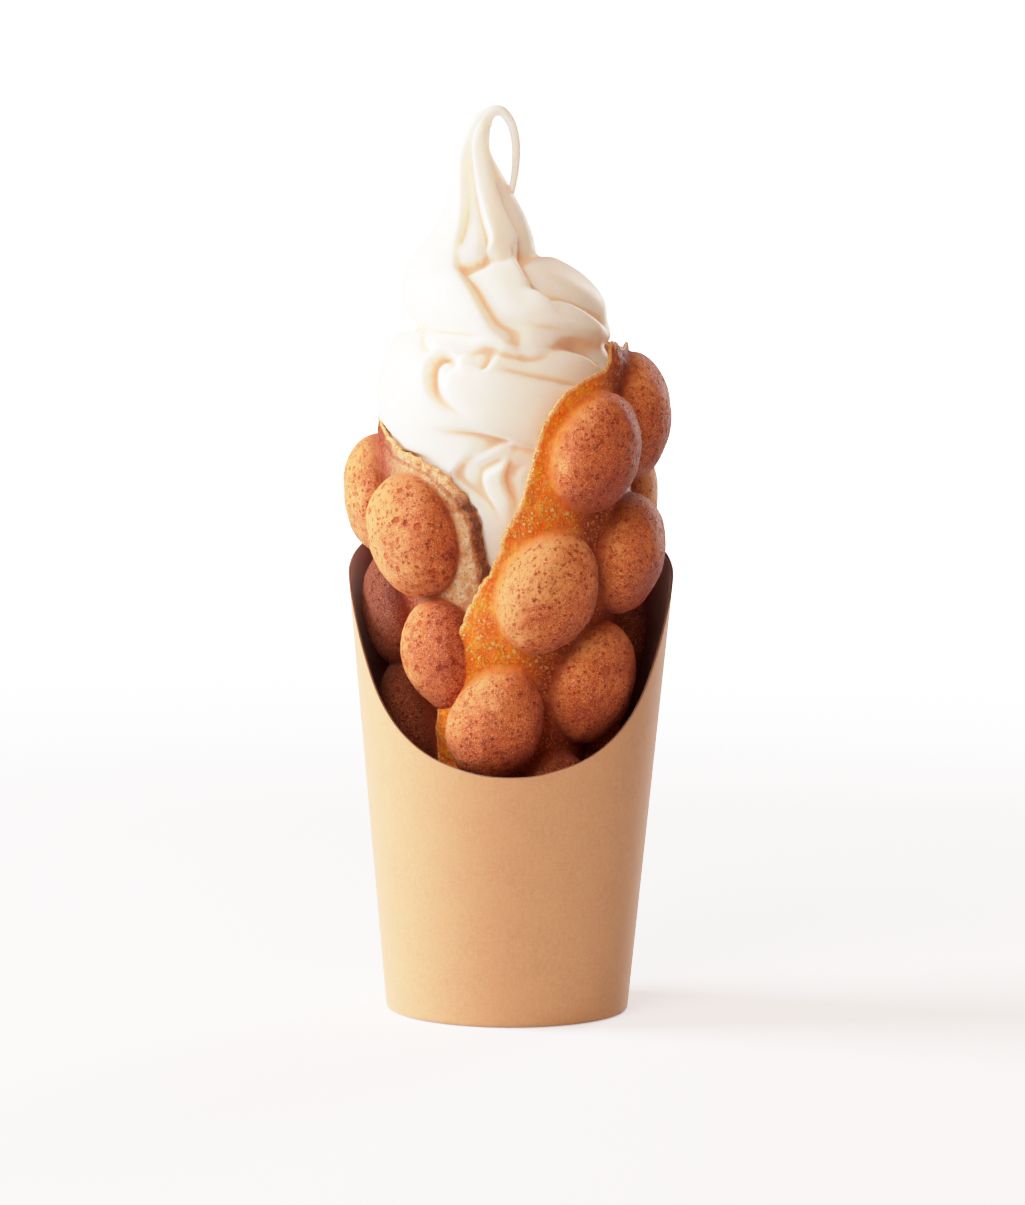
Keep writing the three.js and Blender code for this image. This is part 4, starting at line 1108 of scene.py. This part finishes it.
# ------------------------------------------------------------------ the object
cup = build_cup()
cup.data.materials.append(paper_material())
waffle = build_waffle()
waffle.data.materials.append(waffle_material())
cream = build_cream()
cream.data.materials.append(cream_material())
for piece, node in ((cup, "paper_cup"), (waffle, "bubble_waffle"), (cream, "soft_serve")):
    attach(piece, "root")
    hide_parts(node)

# ------------------------------------------------------------------ floor, light, camera
scene = bpy.context.scene


def flat_disc(name, radius, z):
    bm = bmesh.new()
    bmesh.ops.create_circle(bm, cap_ends=True, segments=96, radius=radius)
    mesh = bpy.data.meshes.new(name)
    bm.to_mesh(mesh)
    bm.free()
    obj = bpy.data.objects.new(name, mesh)
    obj.location = (0, 0, z)
    scene.collection.objects.link(obj)
    return obj


floor = flat_disc("floor", 1.4, -0.0002)
fm, fnt, _, _, fb = material("pale_floor")
fg = Net(fnt)
fb.inputs["Base Color"].default_value = (0.74, 0.78, 0.82, 1)
fb.inputs["Roughness"].default_value = 0.9
fb.inputs["Specular IOR Level"].default_value = 0.1
sep = fg.node("ShaderNodeSeparateXYZ")
fg.put(sep.inputs[0], fg.coords())
dist = fg.math("SQRT", fg.add(fg.mul(sep.outputs[0], sep.outputs[0]), fg.mul(sep.outputs[1], sep.outputs[1])))
path = fg.node("ShaderNodeLightPath")
fb.inputs["Emission Color"].default_value = (1.0, 0.93, 0.96, 1)
fg.put(fb.inputs["Emission Strength"], fg.mul(path.outputs["Is Camera Ray"], 0.55))
clear = fg.node("ShaderNodeBsdfTransparent")
mixer = fg.node("ShaderNodeMixShader")
fg.put(mixer.inputs[0], fg.remap(dist, 0.35, 1.1))
fnt.links.new(fb.outputs[0], mixer.inputs[1])
fnt.links.new(clear.outputs[0], mixer.inputs[2])
out = next(n for n in fnt.nodes if n.type == "OUTPUT_MATERIAL")
fnt.links.new(mixer.outputs[0], out.inputs["Surface"])
floor.data.materials.append(fm)

world = bpy.data.worlds.new("studio")
scene.world = world
world.use_nodes = True
wg = Net(world.node_tree)
bg = world.node_tree.nodes["Background"]
lp = wg.node("ShaderNodeLightPath")
FILL = 0.38
wcol = wg.mix(lp.outputs["Is Camera Ray"], (FILL * 1.0, FILL * 0.60, FILL * 0.40, 1), (3, 3, 3, 1))
world.node_tree.links.new(wcol, bg.inputs["Color"])
bg.inputs["Strength"].default_value = 1.0


def area(name, azimuth, elevation, distance, size, power, color, target=(0, 0, 0.12)):
    light = bpy.data.lights.new(name, "AREA")
    light.shape = "RECTANGLE"
    light.size, light.size_y = size
    light.energy = power
    light.color = color
    obj = bpy.data.objects.new(name, light)
    a, e = math.radians(azimuth), math.radians(elevation)
    at = Vector(target) + distance * Vector((math.sin(a) * math.cos(e), -math.cos(a) * math.cos(e), math.sin(e)))
    obj.location = at
    obj.rotation_mode = "QUATERNION"
    obj.rotation_quaternion = (at - Vector(target)).to_track_quat("Z", "Y")
    scene.collection.objects.link(obj)
    return obj


area("key", -92, 20, 1.5, (0.9, 0.9), 47, (1.0, 0.99, 0.98))
area("front", -24, 34, 1.8, (1.0, 1.0), 21, (1.0, 0.85, 0.71))
area("rim_right", 148, 18, 1.3, (0.35, 1.0), 9, (1.0, 0.97, 0.93))

cam_data = bpy.data.cameras.new("camera")
cam = bpy.data.objects.new("camera", cam_data)
scene.collection.objects.link(cam)
scene.camera = cam
FOCAL_PX, LONG_PX = 1400.0 / 0.2786, 1205.0
cam_data.sensor_fit = "AUTO"
cam_data.sensor_width = 36.0
cam_data.lens = 36.0 * FOCAL_PX / LONG_PX
cam_data.clip_start, cam_data.clip_end = 0.05, 50
eye = (np.array([0.5, -1393.4, 250.8]) + ORIGIN) * MM
aim = (np.array([0.5, 0.0, 113.9]) + ORIGIN) * MM
look = Vector(eye - aim)
quat = look.to_track_quat("Z", "Y")
roll = Matrix.Rotation(math.radians(0.55), 4, "Z")
cam.matrix_world = Matrix.Translation(Vector(eye)) @ quat.to_matrix().to_4x4() @ roll

scene.view_settings.view_transform = "Standard"
scene.view_settings.look = "None"
# highlights roll off softly instead of clipping
scene.view_settings.use_curve_mapping = True
film = scene.view_settings.curve_mapping
film.white_level = (3, 3, 3)
film.extend = "HORIZONTAL"
shape = film.curves[3]
shape.points[1].location = (1, 1)
for x, y in ((0.1, 0.30), (0.2, 0.56), (0.333, 0.80), (0.5, 0.92), (0.667, 0.975), (0.85, 0.997)):
    shape.points.new(x, y)
film.update()
